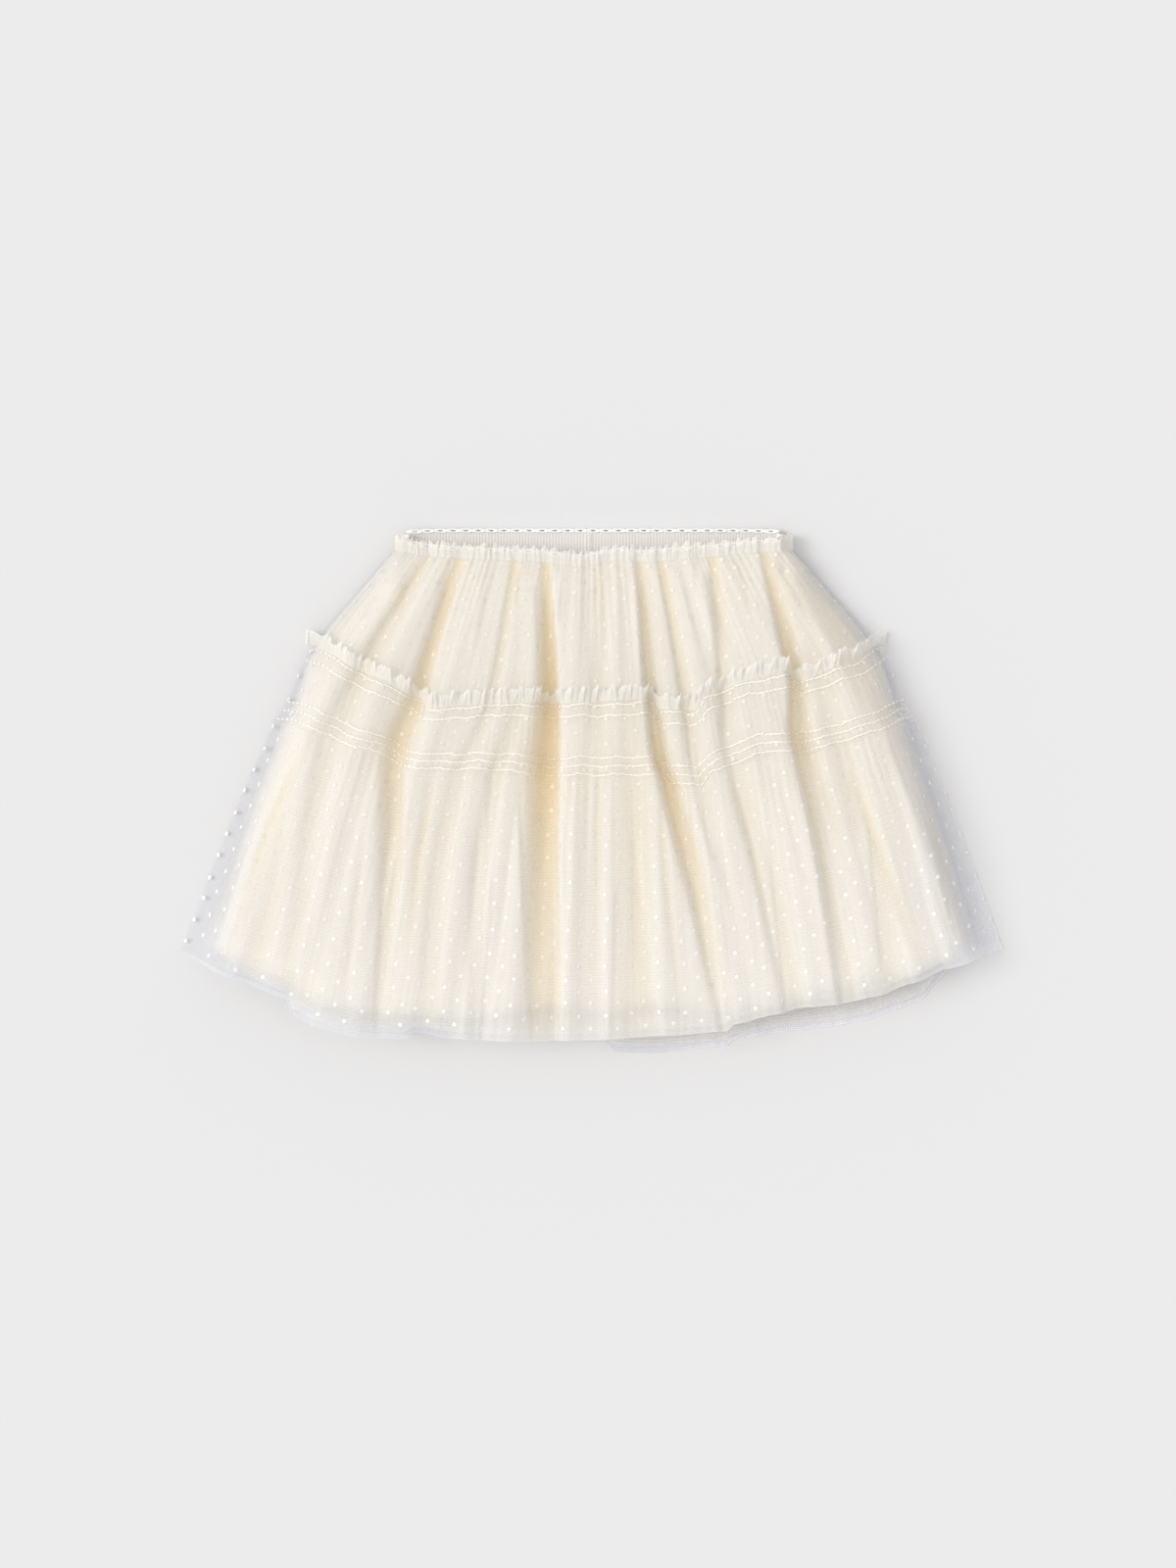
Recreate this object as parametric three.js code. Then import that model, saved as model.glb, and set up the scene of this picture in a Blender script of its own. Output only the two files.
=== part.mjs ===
// A child's tulle skirt laid flat, back down: an upper tier gathered onto an elastic waist, a lower tier with
// a standing frill and a shirred band, a plain tulle underskirt and a lining.
// Millimetres, +Z up. The waist points to +Y, and the origin is the middle of the footprint on the surface.
import * as THREE from 'three';

// Driving sizes
const cloth = { wall: 1.1, elastic: 1.3, seamGap: 0.3 };
const stacked = { backFacing: 1.4, backUnder: 2.9, backLining: 4.3, frontLining: 12.9, frontUnder: 14.9, frontOuter: 17.1 };
const gathers = { count: 26, waist: 0.9, seam: 1.0, hem: 1.7 };
const sideRoll = { waist: 9, outer: 26, under: 22, lining: 20 };
const waistElastic = { halfWidth: 115, width: 20, frontTop: 4.5, backTop: 158.8, low: 1.4, high: 14.3, squareness: 4, sideFall: 5 };
const waistFrill = { halfWidth: 122.4, standing: 8.5, backTop: 161.4, ruffles: 50, ruffleDepth: 1.1, low: 0, high: 17 };
const tierFrill = { standing: 8.5, ruffles: 34, ruffleDepth: 1.2, lift: 2.2, tail: 5, backInset: 24 };

// Levels down the garment: 0 waist seam, 1 tier seam, 2 foot of the shirred band, 3 hem
const levels = [0, 1, 2, 2.35, 3];

// Half widths and middles of the laid-out skirt at those levels, with the height of the folds' crowns
const plan = [
  { level: 0, half: 123, middle: 1.2, crown: 2.5 },
  { level: 0.45, half: 147, middle: 1.8, crown: 13 },
  { level: 1, half: 173.5, middle: 2.4, crown: 19 },
  { level: 2, half: 198.5, middle: 2.4, crown: 21 },
  { level: 2.35, half: 219, middle: 1.5, crown: 20 },
  { level: 3, half: 253.5, middle: 0, crown: 14 },
];

// The seams and hems as laid out: share of the half width, from left to right, and place along Y
const waistSeam = [
  { at: -1, y: 147.6 }, { at: -0.84, y: 144 }, { at: -0.6, y: 142.2 }, { at: -0.31, y: 141 }, { at: -0.05, y: 137.4 },
  { at: 0.12, y: 141.6 }, { at: 0.26, y: 140.4 }, { at: 0.55, y: 143.4 }, { at: 0.83, y: 146.4 }, { at: 1, y: 147.6 },
];
const tierSeam = [
  { at: -1, y: 89.4 }, { at: -0.79, y: 70.5 }, { at: -0.62, y: 56.4 }, { at: -0.585, y: 49.5 },
  { at: -0.45, y: 52 }, { at: -0.2, y: 54 }, { at: -0.14, y: 53 }, { at: 0.19, y: 55.5 },
  { at: 0.225, y: 49.5 }, { at: 0.345, y: 49 }, { at: 0.385, y: 58.5 }, { at: 0.58, y: 69 },
  { at: 0.66, y: 73 }, { at: 0.71, y: 66.5 }, { at: 0.91, y: 79.5 }, { at: 1, y: 89.4 },
];
const backWaistSeam = [{ at: -1, y: 147.6 }, { at: -0.6, y: 149.8 }, { at: 0, y: 150.3 }, { at: 0.6, y: 149.8 }, { at: 1, y: 147.6 }];
const backTierSeam = [{ at: -1, y: 89.4 }, { at: -0.5, y: 66 }, { at: 0, y: 58 }, { at: 0.5, y: 66 }, { at: 1, y: 89.4 }];
const backBandFoot = [{ at: -1, y: 42.6 }, { at: -0.5, y: 19 }, { at: 0, y: 11 }, { at: 0.5, y: 19 }, { at: 1, y: 42.6 }];
const bandFoot = [
  { at: -1, y: 42.6 }, { at: -0.67, y: 21.5 }, { at: -0.6, y: 12 }, { at: -0.23, y: 9.6 },
  { at: -0.14, y: 6 }, { at: 0.1, y: 7.8 }, { at: 0.2, y: 6 }, { at: 0.24, y: 1.5 },
  { at: 0.32, y: 1.5 }, { at: 0.36, y: 10 }, { at: 0.57, y: 22.5 }, { at: 0.63, y: 21 },
  { at: 0.69, y: 23.5 }, { at: 1, y: 42.6 },
];
const frontHem = [
  { at: -1, y: -99 }, { at: -0.97, y: -103 }, { at: -0.86, y: -115.6 }, { at: -0.735, y: -127 },
  { at: -0.72, y: -137.5 }, { at: -0.66, y: -144.8 }, { at: -0.56, y: -151 },
  { at: -0.445, y: -151.8 }, { at: -0.43, y: -147.6 }, { at: -0.32, y: -151.8 },
  { at: -0.163, y: -153.5 }, { at: 0.015, y: -152.4 }, { at: 0.178, y: -149.6 },
  { at: 0.325, y: -147 }, { at: 0.345, y: -142.6 }, { at: 0.443, y: -136.7 }, { at: 0.51, y: -132.5 },
  { at: 0.59, y: -130.8 }, { at: 0.682, y: -125.8 }, { at: 0.775, y: -117.4 }, { at: 0.855, y: -109 },
  { at: 1, y: -98.5 },
];
const backHem = [
  { at: -1, y: -99.5 }, { at: -0.97, y: -103 }, { at: -0.86, y: -115 }, { at: -0.735, y: -126 },
  { at: -0.71, y: -137 }, { at: -0.56, y: -149 }, { at: -0.43, y: -150.5 }, { at: -0.2, y: -155 },
  { at: 0.035, y: -155 }, { at: 0.055, y: -161.5 }, { at: 0.16, y: -162 }, { at: 0.33, y: -157.5 },
  { at: 0.345, y: -153.5 }, { at: 0.483, y: -148.5 }, { at: 0.569, y: -146 }, { at: 0.656, y: -142.6 },
  { at: 0.742, y: -135 }, { at: 0.8, y: -129.5 }, { at: 0.835, y: -119 }, { at: 0.87, y: -110.5 },
  { at: 1, y: -98 },
];
const underHemLift = 4;      // the underskirt's hem above the outer tier's
const liningHem = [
  { at: -1, y: -86 }, { at: -0.77, y: -114 }, { at: -0.654, y: -127 }, { at: -0.5, y: -133 },
  { at: -0.295, y: -136 }, { at: -0.09, y: -130 }, { at: 0.05, y: -133 }, { at: 0.14, y: -128 },
  { at: 0.3, y: -133 }, { at: 0.417, y: -127.5 }, { at: 0.55, y: -120 }, { at: 0.75, y: -110 },
  { at: 0.9, y: -97 }, { at: 1, y: -86 },
];
const inset = { under: { top: 6, hem: 15 }, lining: { top: 12, hem: 32 } };   // side edges inside the outer tier's

// The folds' valleys on the front: where each runs and how deep it is at the five levels, and its half width at
// the waist and the hem
const valleys = [
  { run: [-80, -108, -122, -123, -134], deep: [2, 14, 17, 12, 4], halfWidth: [5, 11] },
  { run: [-99, -138, -158, -168, -181], deep: [2, 5, 4, 5, 4], halfWidth: [4, 9] },
  { run: [-140, -178, -186, -192, -207], deep: [0, 0, 2, 5, 4], halfWidth: [5, 10] },
  { run: [-46, -60, -80, -92, -98], deep: [2, 3, 2, 4, 3], halfWidth: [3, 7] },
  { run: [-40, -44, -58, -67, -69], deep: [0, 1, 3, 6, 6], halfWidth: [4, 6] },
  { run: [-28.5, -25.5, -28, -29, -28], deep: [2.5, 18, 20, 15, 8], halfWidth: [5, 11] },
  { run: [8, 4, 1, 1, -2], deep: [1, 3, 3, 5, 4], halfWidth: [5, 8] },
  { run: [20, 24, 27, 30, 29], deep: [0, 2, 3, 6, 5], halfWidth: [5, 9] },
  { run: [28.5, 36, 46, 60, 82], deep: [2.5, 15, 16, 11, 4], halfWidth: [4, 8] },
  { run: [42, 58, 67, 78, 96], deep: [2, 4, 2, 3, 2], halfWidth: [3, 7] },
  { run: [73.5, 81, 88, 102, 122], deep: [2, 6, 4, 7, 5], halfWidth: [5, 9] },
  { run: [105, 124, 130, 142, 157], deep: [2, 14, 15, 11, 5], halfWidth: [6, 10] },
  { run: [112, 140, 154, 166, 186], deep: [0, 3, 3, 4, 3], halfWidth: [5, 9] },
  { run: [118, 158, 180, 194, 222], deep: [0, 4, 4, 5, 4], halfWidth: [5, 10] },
];

// How finely each piece is divided, across and down
const evenly = (count) => Array.from({ length: count + 1 }, (_, i) => i / count);
const mesh = {
  elastic: { columns: 64 }, waistFrill: { columns: 200 },
  frontUpper: { columns: 96, rows: evenly(4) }, frontBand: { columns: 96, rows: evenly(2) },
  frontLower: { columns: 100, rows: evenly(5) }, frontFrill: { columns: 136, rows: evenly(1) },
  frontUnder: { columns: 52, rows: evenly(6) }, frontLining: { columns: 40, rows: evenly(5) },
  backUpper: { columns: 36, rows: [0, 0.35, 0.72, 0.81, 1] }, backBand: { columns: 36, rows: evenly(1) },
  backLower: { columns: 48, rows: evenly(4) }, backFrill: { columns: 96, rows: evenly(1) },
  backInner: { columns: 26, rows: evenly(4) },
};

const colours = { tulle: 0xf3efe6, elastic: 0xe2dcd6, underskirt: 0xf0ead9, lining: 0xf2e3bd };

const mix = (a, b, share) => a + (b - a) * share;
const clamp01 = (value) => Math.min(1, Math.max(0, value));
const ease = (value) => clamp01(value) ** 2 * (3 - 2 * clamp01(value));

// A smooth curve through rising knots: the slope at each knot is the mean of its neighbours'
function through(places, values, at) {
  const last = places.length - 1;
  const x = Math.min(places[last], Math.max(places[0], at));
  let k = 0;
  while (k < last - 1 && x > places[k + 1]) k += 1;
  const rise = (i) => (values[i + 1] - values[i]) / (places[i + 1] - places[i]);
  const slope = (i) => (i === 0 ? rise(0) : i === last ? rise(last - 1) : (rise(i - 1) + rise(i)) / 2);
  const span = places[k + 1] - places[k];
  const t = (x - places[k]) / span;
  return (
    values[k] * (1 + 2 * t) * (1 - t) ** 2 + slope(k) * span * t * (1 - t) ** 2
    + values[k + 1] * t * t * (3 - 2 * t) - slope(k + 1) * span * t * t * (1 - t)
  );
}

// A seam or hem line: straight between its points, which is how gathered cloth steps from fold to fold
function lineAt(line, share) {
  const at = Math.min(1, Math.max(-1, share));
  const k = Math.max(0, line.findIndex((point, i) => i < line.length - 1 && at <= line[i + 1].at));
  return mix(line[k].y, line[k + 1].y, ease((at - line[k].at) / (line[k + 1].at - line[k].at)) * 0.5
    + clamp01((at - line[k].at) / (line[k + 1].at - line[k].at)) * 0.5);
}

const planLevels = plan.map((row) => row.level);
const halfAt = (level) => through(planLevels, plan.map((row) => row.half), level);
const middleAt = (level) => through(planLevels, plan.map((row) => row.middle), level);
const crownAt = (level) => through(planLevels, plan.map((row) => row.crown), level);

// The lines that a panel runs between, by its hem
const frontLines = (hem) => [waistSeam, tierSeam, bandFoot, hem];
const backLines = (hem) => [backWaistSeam, backTierSeam, backBandFoot, hem];

// Place along Y of a level, at a share of the half width
function alongY(lines, level, share) {
  const k = Math.min(2, Math.floor(level));
  return mix(lineAt(lines[k], share), lineAt(lines[k + 1], share), level - k);
}

// Ends of panels, as levels by share: a whole level, a distance below a line, or a seam's gap above a line
const tall = (lines, level, share) => lineAt(lines[level], share) - lineAt(lines[level + 1], share);
const atLevel = (level) => () => level;
const levelBelow = (lines, level, distance) => (share) => level + distance(share) / tall(lines, level, share);
const seamAbove = (lines, level) => (share) => level - (cloth.seamGap * 2.7) / tall(lines, level - 1, share);

// The inner layers start just under the elastic's lower edge
const elasticFrontTop = (share) => lineAt(waistSeam, share) + waistElastic.frontTop;
const elasticBackTop = (share) => waistElastic.backTop - waistElastic.sideFall * share ** 8;
const underElastic = (lines, elasticTop) => levelBelow(lines, 0, (share) => (
  lineAt(lines[0], share) - elasticTop(share) + waistElastic.width + cloth.seamGap * 2
));

const gatherDepth = (level) => through([0, 1, 3], [gathers.waist, gathers.seam, gathers.hem], level);

// Height of the front folds over the floor of their valleys
function foldLift(x, share, level) {
  const wave = Math.sin(Math.PI * gathers.count * share + 1.7 * Math.sin(4.3 * share + 0.5 * level) + 0.6 * level);
  let lift = crownAt(level) + gatherDepth(level) * wave;
  for (const valley of valleys) {
    const halfWidth = mix(valley.halfWidth[0], valley.halfWidth[1], level / 3);
    const away = Math.abs(x - through(levels, valley.run, level)) / halfWidth;
    lift -= Math.max(0, through(levels, valley.deep, level)) / (1 + away ** 3);
  }
  return (lift + Math.sqrt(lift * lift + 6)) / 2;
}

// The side roll is tight at the elastic and opens down the upper tier
const rollAt = (roll, level) => mix(sideRoll.waist, roll, ease(level / 0.5));

// How far a front panel has risen from its rolled side edge, from 0 to 1
const rolled = (share, half, roll) => 1 - (1 - clamp01(((1 - Math.abs(share)) * half) / roll)) ** 2;

// A front layer as a height field: its place in the stack, how much of the folds it takes, and its side edges
function frontLayer({ floor, edgeFloor, folds, roll, insetTop, insetHem, lines }) {
  return (share, level) => {
    const half = halfAt(level) - mix(insetTop, insetHem, clamp01(level / 3));
    const x = middleAt(level) + share * half;
    const outerShare = (share * half) / halfAt(level);
    const inner = floor(level) + folds * foldLift(x, outerShare, level);
    const height = mix(edgeFloor, inner, rolled(share, half, rollAt(roll, level)));
    return new THREE.Vector3(x, alongY(lines, level, outerShare), height);
  };
}

// A back layer lies flat; away from its side edges it has shallow pleats pressed into its underside
function backLayer({ floor, pleat, insetTop, insetHem, lines }) {
  return (share, level) => {
    const half = halfAt(level) - mix(insetTop, insetHem, clamp01(level / 3));
    const outerShare = (share * half) / halfAt(level);
    const wave = Math.sin(9.5 * Math.PI * share + 1.1 * Math.sin(3.1 * share));
    const clearOfSeams = ease((level - 0.12) / 0.25) * Math.max(1 - ease((level - 0.6) / 0.15), ease((level - 1) / 0.1));
    const fromSide = ease((1 - Math.abs(share)) * 8);
    const raised = (pleat * Math.max(0, wave - 0.35) * clearOfSeams + floor(level)) * (pleat ? fromSide : 1);
    return new THREE.Vector3(middleAt(level) + share * half, alongY(lines, level, outerShare), raised);
  };
}

// One closed wall from a sheet of points: the sheet is its lower face, and the upper face lies straight above
function wallOf({ columns, rows }, sheetPoint, from, to, wall) {
  const lower = [];
  for (const down of rows) {
    for (let i = 0; i <= columns; i += 1) {
      const share = (2 * i) / columns - 1;
      lower.push(sheetPoint(share, mix(from(share), to(share), down)));
    }
  }
  return closedWall(lower, columns + 1, rows.length, wall);
}

// The slope of the lower sheet makes the wall taller where it is steep, so that the cloth keeps its thickness
function closedWall(lower, wide, tall, wall) {
  const at = (i, j) => lower[Math.min(tall - 1, Math.max(0, j)) * wide + Math.min(wide - 1, Math.max(0, i))];
  const positions = [];
  lower.forEach((point) => positions.push(point.x, point.y, point.z));
  for (let j = 0; j < tall; j += 1) {
    for (let i = 0; i < wide; i += 1) {
      const acrossStep = at(i + 1, j).clone().sub(at(i - 1, j));
      const downStep = at(i, j + 1).clone().sub(at(i, j - 1));
      const normal = acrossStep.cross(downStep).normalize();
      const rise = wall / Math.max(0.5, Math.abs(normal.z));
      const point = at(i, j);
      positions.push(point.x, point.y, point.z + rise);
    }
  }
  const upper = lower.length;
  const index = [];
  for (let j = 0; j < tall - 1; j += 1) {
    for (let i = 0; i < wide - 1; i += 1) {
      const a = j * wide + i;
      const [b, c, d] = [a + 1, a + wide + 1, a + wide];
      index.push(upper + a, upper + d, upper + c, upper + a, upper + c, upper + b, a, c, d, a, b, c);
    }
  }
  const rim = [];
  for (let j = 0; j < tall - 1; j += 1) rim.push(j * wide);
  for (let i = 0; i < wide - 1; i += 1) rim.push((tall - 1) * wide + i);
  for (let j = tall - 1; j > 0; j -= 1) rim.push(j * wide + wide - 1);
  for (let i = wide - 1; i > 0; i -= 1) rim.push(i);
  rim.forEach((p, k) => {
    const q = rim[(k + 1) % rim.length];
    index.push(p, q, upper + q, p, upper + q, upper + p);
  });
  return geometryOf(positions, index);
}

function geometryOf(positions, index) {
  const geometry = new THREE.BufferGeometry();
  geometry.setAttribute('position', new THREE.Float32BufferAttribute(positions, 3));
  geometry.setIndex(index);
  geometry.computeVertexNormals();
  return geometry;
}

// A closed ring round the waist: outer and inner faces between a top and a bottom edge. ringPoint gives
// { x, z, outX, outZ, top, bottom } at an angle, and the wall is thick inwards from the outer face
function ringOf({ columns }, ringPoint, wall) {
  const positions = [];
  for (let i = 0; i < columns; i += 1) {
    const p = ringPoint((2 * Math.PI * i) / columns);
    for (const [y, depth] of [[p.top, 0], [p.bottom, 0], [p.bottom, wall], [p.top, wall]]) {
      positions.push(p.x - p.outX * depth, y, p.z - p.outZ * depth);
    }
  }
  const index = [];
  for (let i = 0; i < columns; i += 1) {
    const here = 4 * i;
    const next = 4 * ((i + 1) % columns);
    for (let side = 0; side < 4; side += 1) {
      const after = (side + 1) % 4;
      index.push(here + side, next + side, next + after, here + side, next + after, here + after);
    }
  }
  return geometryOf(positions, index);
}

// The flattened ring's outline in X and Z, with its outward direction
function flatRing(angle, halfWidth, low, high) {
  const { squareness } = waistElastic;
  const middle = (low + high) / 2;
  const halfHeight = (high - low) / 2;
  const c = Math.cos(angle);
  const s = Math.sign(Math.sin(angle)) * (1 - Math.abs(c) ** squareness) ** (1 / squareness);
  const out = new THREE.Vector2(
    Math.sign(c) * Math.abs(c) ** (squareness - 1) / halfWidth,
    Math.sign(s) * Math.abs(s) ** (squareness - 1) / halfHeight,
  ).normalize();
  return { x: middleAt(0) + halfWidth * c, z: middle + halfHeight * s, outX: out.x, outZ: out.y, front: clamp01((s + 1) / 2) };
}

function elasticPoint(angle) {
  const { halfWidth, low, high, width, backTop } = waistElastic;
  const ring = flatRing(angle, halfWidth, low, high);
  const top = mix(backTop, elasticFrontTop((ring.x - middleAt(0)) / halfAt(0)), ease(ring.front));
  return { ...ring, top, bottom: top - width };
}

function waistFrillPoint(angle) {
  const { halfWidth, low, high, standing, backTop, ruffles, ruffleDepth } = waistFrill;
  const ring = flatRing(angle, halfWidth, low, high);
  const share = (ring.x - middleAt(0)) / halfAt(0);
  const seam = lineAt(waistSeam, share) + cloth.seamGap;
  const backSeam = lineAt(backWaistSeam, share) + cloth.seamGap;
  const ruffle = Math.sin(ruffles * angle + 0.9 * Math.sin(5 * angle));
  const onFront = ease((ring.front - 0.55) / 0.3);
  const top = mix(backTop, seam + standing, ease(ring.front)) + 0.6 * Math.sin(ruffles * angle * 0.5);
  const wave = ruffleDepth * (ruffle + 1) * 0.5 * onFront;
  return { ...ring, z: ring.z + wave, top, bottom: mix(backSeam, seam, ease(ring.front)) };
}

const constant = (height) => () => height;
const nearWaist = (height, drop) => (level) => height - drop * (1 - ease(level / 0.14));

const frontOuterSheet = frontLayer({
  floor: nearWaist(stacked.frontOuter, 2.2), edgeFloor: cloth.wall + cloth.seamGap, folds: 1,
  roll: sideRoll.outer, insetTop: 0, insetHem: 0, lines: frontLines(frontHem),
});
const frontUnderHem = frontHem.map(({ at, y }) => ({ at, y: y + underHemLift }));
const frontUnderSheet = frontLayer({
  floor: constant(stacked.frontUnder), edgeFloor: stacked.backUnder + cloth.wall + cloth.seamGap, folds: 0.62,
  roll: sideRoll.under, insetTop: inset.under.top, insetHem: inset.under.hem, lines: frontLines(frontUnderHem),
});
const frontLiningSheet = frontLayer({
  floor: constant(stacked.frontLining), edgeFloor: stacked.backLining + cloth.wall + cloth.seamGap, folds: 0.3,
  roll: sideRoll.lining, insetTop: inset.lining.top, insetHem: inset.lining.hem, lines: frontLines(liningHem),
});

// The back tier rises a little over the frill that is pressed under it
const frillUnder = (level) => stacked.backFacing * ease((level - 0.74) / 0.07);
const backUpperSheet = backLayer({ floor: frillUnder, pleat: 0.8, insetTop: 0, insetHem: 0, lines: backLines(backHem) });
const backLowerSheet = backLayer({ floor: constant(0), pleat: 0.8, insetTop: 0, insetHem: 0, lines: backLines(backHem) });
const backUnderHem = backHem.map(({ at, y }) => ({ at, y: y + underHemLift }));
const backUnderSheet = backLayer({
  floor: constant(stacked.backUnder), pleat: 0, insetTop: inset.under.top, insetHem: inset.under.hem, lines: backLines(backUnderHem),
});
const backLiningSheet = backLayer({
  floor: constant(stacked.backLining), pleat: 0, insetTop: inset.lining.top, insetHem: inset.lining.hem, lines: backLines(liningHem),
});

// The standing frill on the front tier seam: it leans up over the upper tier in ruffles
function frontFrillPoint(share, up) {
  const wide = share * (1 + (tierFrill.tail / halfAt(1)) * ease((Math.abs(share) - 0.9) * 10));
  const level = 1 - 0.1 * up;
  const below = frontOuterSheet(Math.min(1, Math.max(-1, wide)), level);
  const ruffle = Math.sin(Math.PI * tierFrill.ruffles * share + 0.8 * Math.sin(6 * share));
  const clear = cloth.wall * 2 + cloth.seamGap * 4.5;
  const lift = clear + up * (tierFrill.lift + tierFrill.ruffleDepth * ruffle);
  const y = lineAt(tierSeam, wide) + cloth.seamGap + up * (tierFrill.standing + 0.8 * Math.sin(2.2 * ruffle + 9 * share));
  return new THREE.Vector3(middleAt(1) + wide * halfAt(1), y, below.z + lift);
}

// The same frill on the back, pressed flat under the upper tier with a scalloped free edge
function backFrillPoint(share, up) {
  const scallop = 0.9 * Math.sin(Math.PI * tierFrill.ruffles * share);
  const within = share * (1 - tierFrill.backInset / halfAt(1));
  const y = lineAt(backTierSeam, within) + cloth.seamGap * 1.5 + up * (tierFrill.standing + scallop);
  return new THREE.Vector3(middleAt(1) + within * halfAt(1), y, 0);
}

const skirt = new THREE.Group();

function piece(name, geometry, color, roughness = 0.85) {
  const made = new THREE.Mesh(geometry, new THREE.MeshStandardMaterial({ color, roughness, metalness: 0 }));
  made.name = name;
  skirt.add(made);
}

const outer = frontLines(frontHem);
const outerBack = backLines(backHem);
const frontInnerTop = underElastic(outer, elasticFrontTop);
const backInnerTop = underElastic(outerBack, elasticBackTop);
const belowWaist = levelBelow(outer, 0, () => cloth.seamGap);
const belowBackWaist = levelBelow(outerBack, 0, () => cloth.seamGap);

piece('waist_elastic', ringOf(mesh.elastic, elasticPoint, cloth.elastic), colours.elastic);
piece('waist_frill', ringOf(mesh.waistFrill, waistFrillPoint, cloth.wall), colours.tulle);
piece('upper_tier_front', wallOf(mesh.frontUpper, frontOuterSheet, belowWaist, seamAbove(outer, 1), cloth.wall), colours.tulle);
piece('upper_tier_back', wallOf(mesh.backUpper, backUpperSheet, belowBackWaist, seamAbove(outerBack, 1), cloth.wall), colours.tulle);
piece('tier_frill_front', wallOf(mesh.frontFrill, frontFrillPoint, atLevel(1), atLevel(0), cloth.wall), colours.tulle);
piece('tier_frill_back', wallOf(mesh.backFrill, backFrillPoint, atLevel(1), atLevel(0), cloth.wall), colours.tulle);
piece('shirred_band_front', wallOf(mesh.frontBand, frontOuterSheet, atLevel(1), seamAbove(outer, 2), cloth.wall), colours.tulle);
piece('shirred_band_back', wallOf(mesh.backBand, backLowerSheet, atLevel(1), seamAbove(outerBack, 2), cloth.wall), colours.tulle);
piece('lower_tier_front', wallOf(mesh.frontLower, frontOuterSheet, atLevel(2), atLevel(3), cloth.wall), colours.tulle);
piece('lower_tier_back', wallOf(mesh.backLower, backLowerSheet, atLevel(2), atLevel(3), cloth.wall), colours.tulle);
piece('underskirt_front', wallOf(mesh.frontUnder, frontUnderSheet, frontInnerTop, atLevel(3), cloth.wall), colours.underskirt);
piece('underskirt_back', wallOf(mesh.backInner, backUnderSheet, backInnerTop, atLevel(3), cloth.wall), colours.underskirt);
piece('lining_front', wallOf(mesh.frontLining, frontLiningSheet, frontInnerTop, atLevel(3), cloth.wall), colours.lining);
piece('lining_back', wallOf(mesh.backInner, backLiningSheet, backInnerTop, atLevel(3), cloth.wall), colours.lining);

export default skirt;
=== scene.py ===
from math import pi, radians

import bpy
import numpy as np
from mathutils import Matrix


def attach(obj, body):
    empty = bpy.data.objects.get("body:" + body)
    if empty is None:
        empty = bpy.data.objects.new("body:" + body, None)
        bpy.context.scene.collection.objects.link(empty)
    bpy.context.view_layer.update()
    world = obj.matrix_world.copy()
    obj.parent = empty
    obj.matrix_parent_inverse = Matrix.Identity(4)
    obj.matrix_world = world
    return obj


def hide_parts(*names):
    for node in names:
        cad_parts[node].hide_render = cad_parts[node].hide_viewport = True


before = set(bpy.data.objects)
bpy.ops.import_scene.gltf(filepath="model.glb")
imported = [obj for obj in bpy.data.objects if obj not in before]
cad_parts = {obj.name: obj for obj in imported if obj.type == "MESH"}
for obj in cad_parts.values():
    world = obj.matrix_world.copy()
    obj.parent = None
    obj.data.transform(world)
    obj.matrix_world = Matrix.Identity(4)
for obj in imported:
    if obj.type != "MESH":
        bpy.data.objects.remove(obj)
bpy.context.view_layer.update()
mm = 0.001  # the skirt's own sizes below are in millimetres
print("frame loaded")


# Stage: floor, light and camera, which looks straight down as the photo does
studio = {
    "floorSize": 30.0,
    "floorTone": (0.768, 0.762, 0.758),
    "floorRoughness": 0.95,
    "floorGloss": 0.1,
    "skyTone": (0.99, 0.99, 1.0),
    "skyStrength": 0.765,
    "sunStrength": 1.47,
    "sunAngle": 28,
    "sunTilt": (4, -43),  # degrees towards the waist and towards the left
    "lens": 100,
    "sensor": 36,
    "frameTall": 960,  # height of what the camera sees, in mm at aimHeight
    "aimedAt": (-2.1, 3.6),
    "aimHeight": 14,
}


def selectNothing():
    if bpy.context.object and bpy.context.object.mode != "OBJECT":
        bpy.ops.object.mode_set(mode="OBJECT")
    bpy.ops.object.select_all(action="DESELECT")


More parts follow.
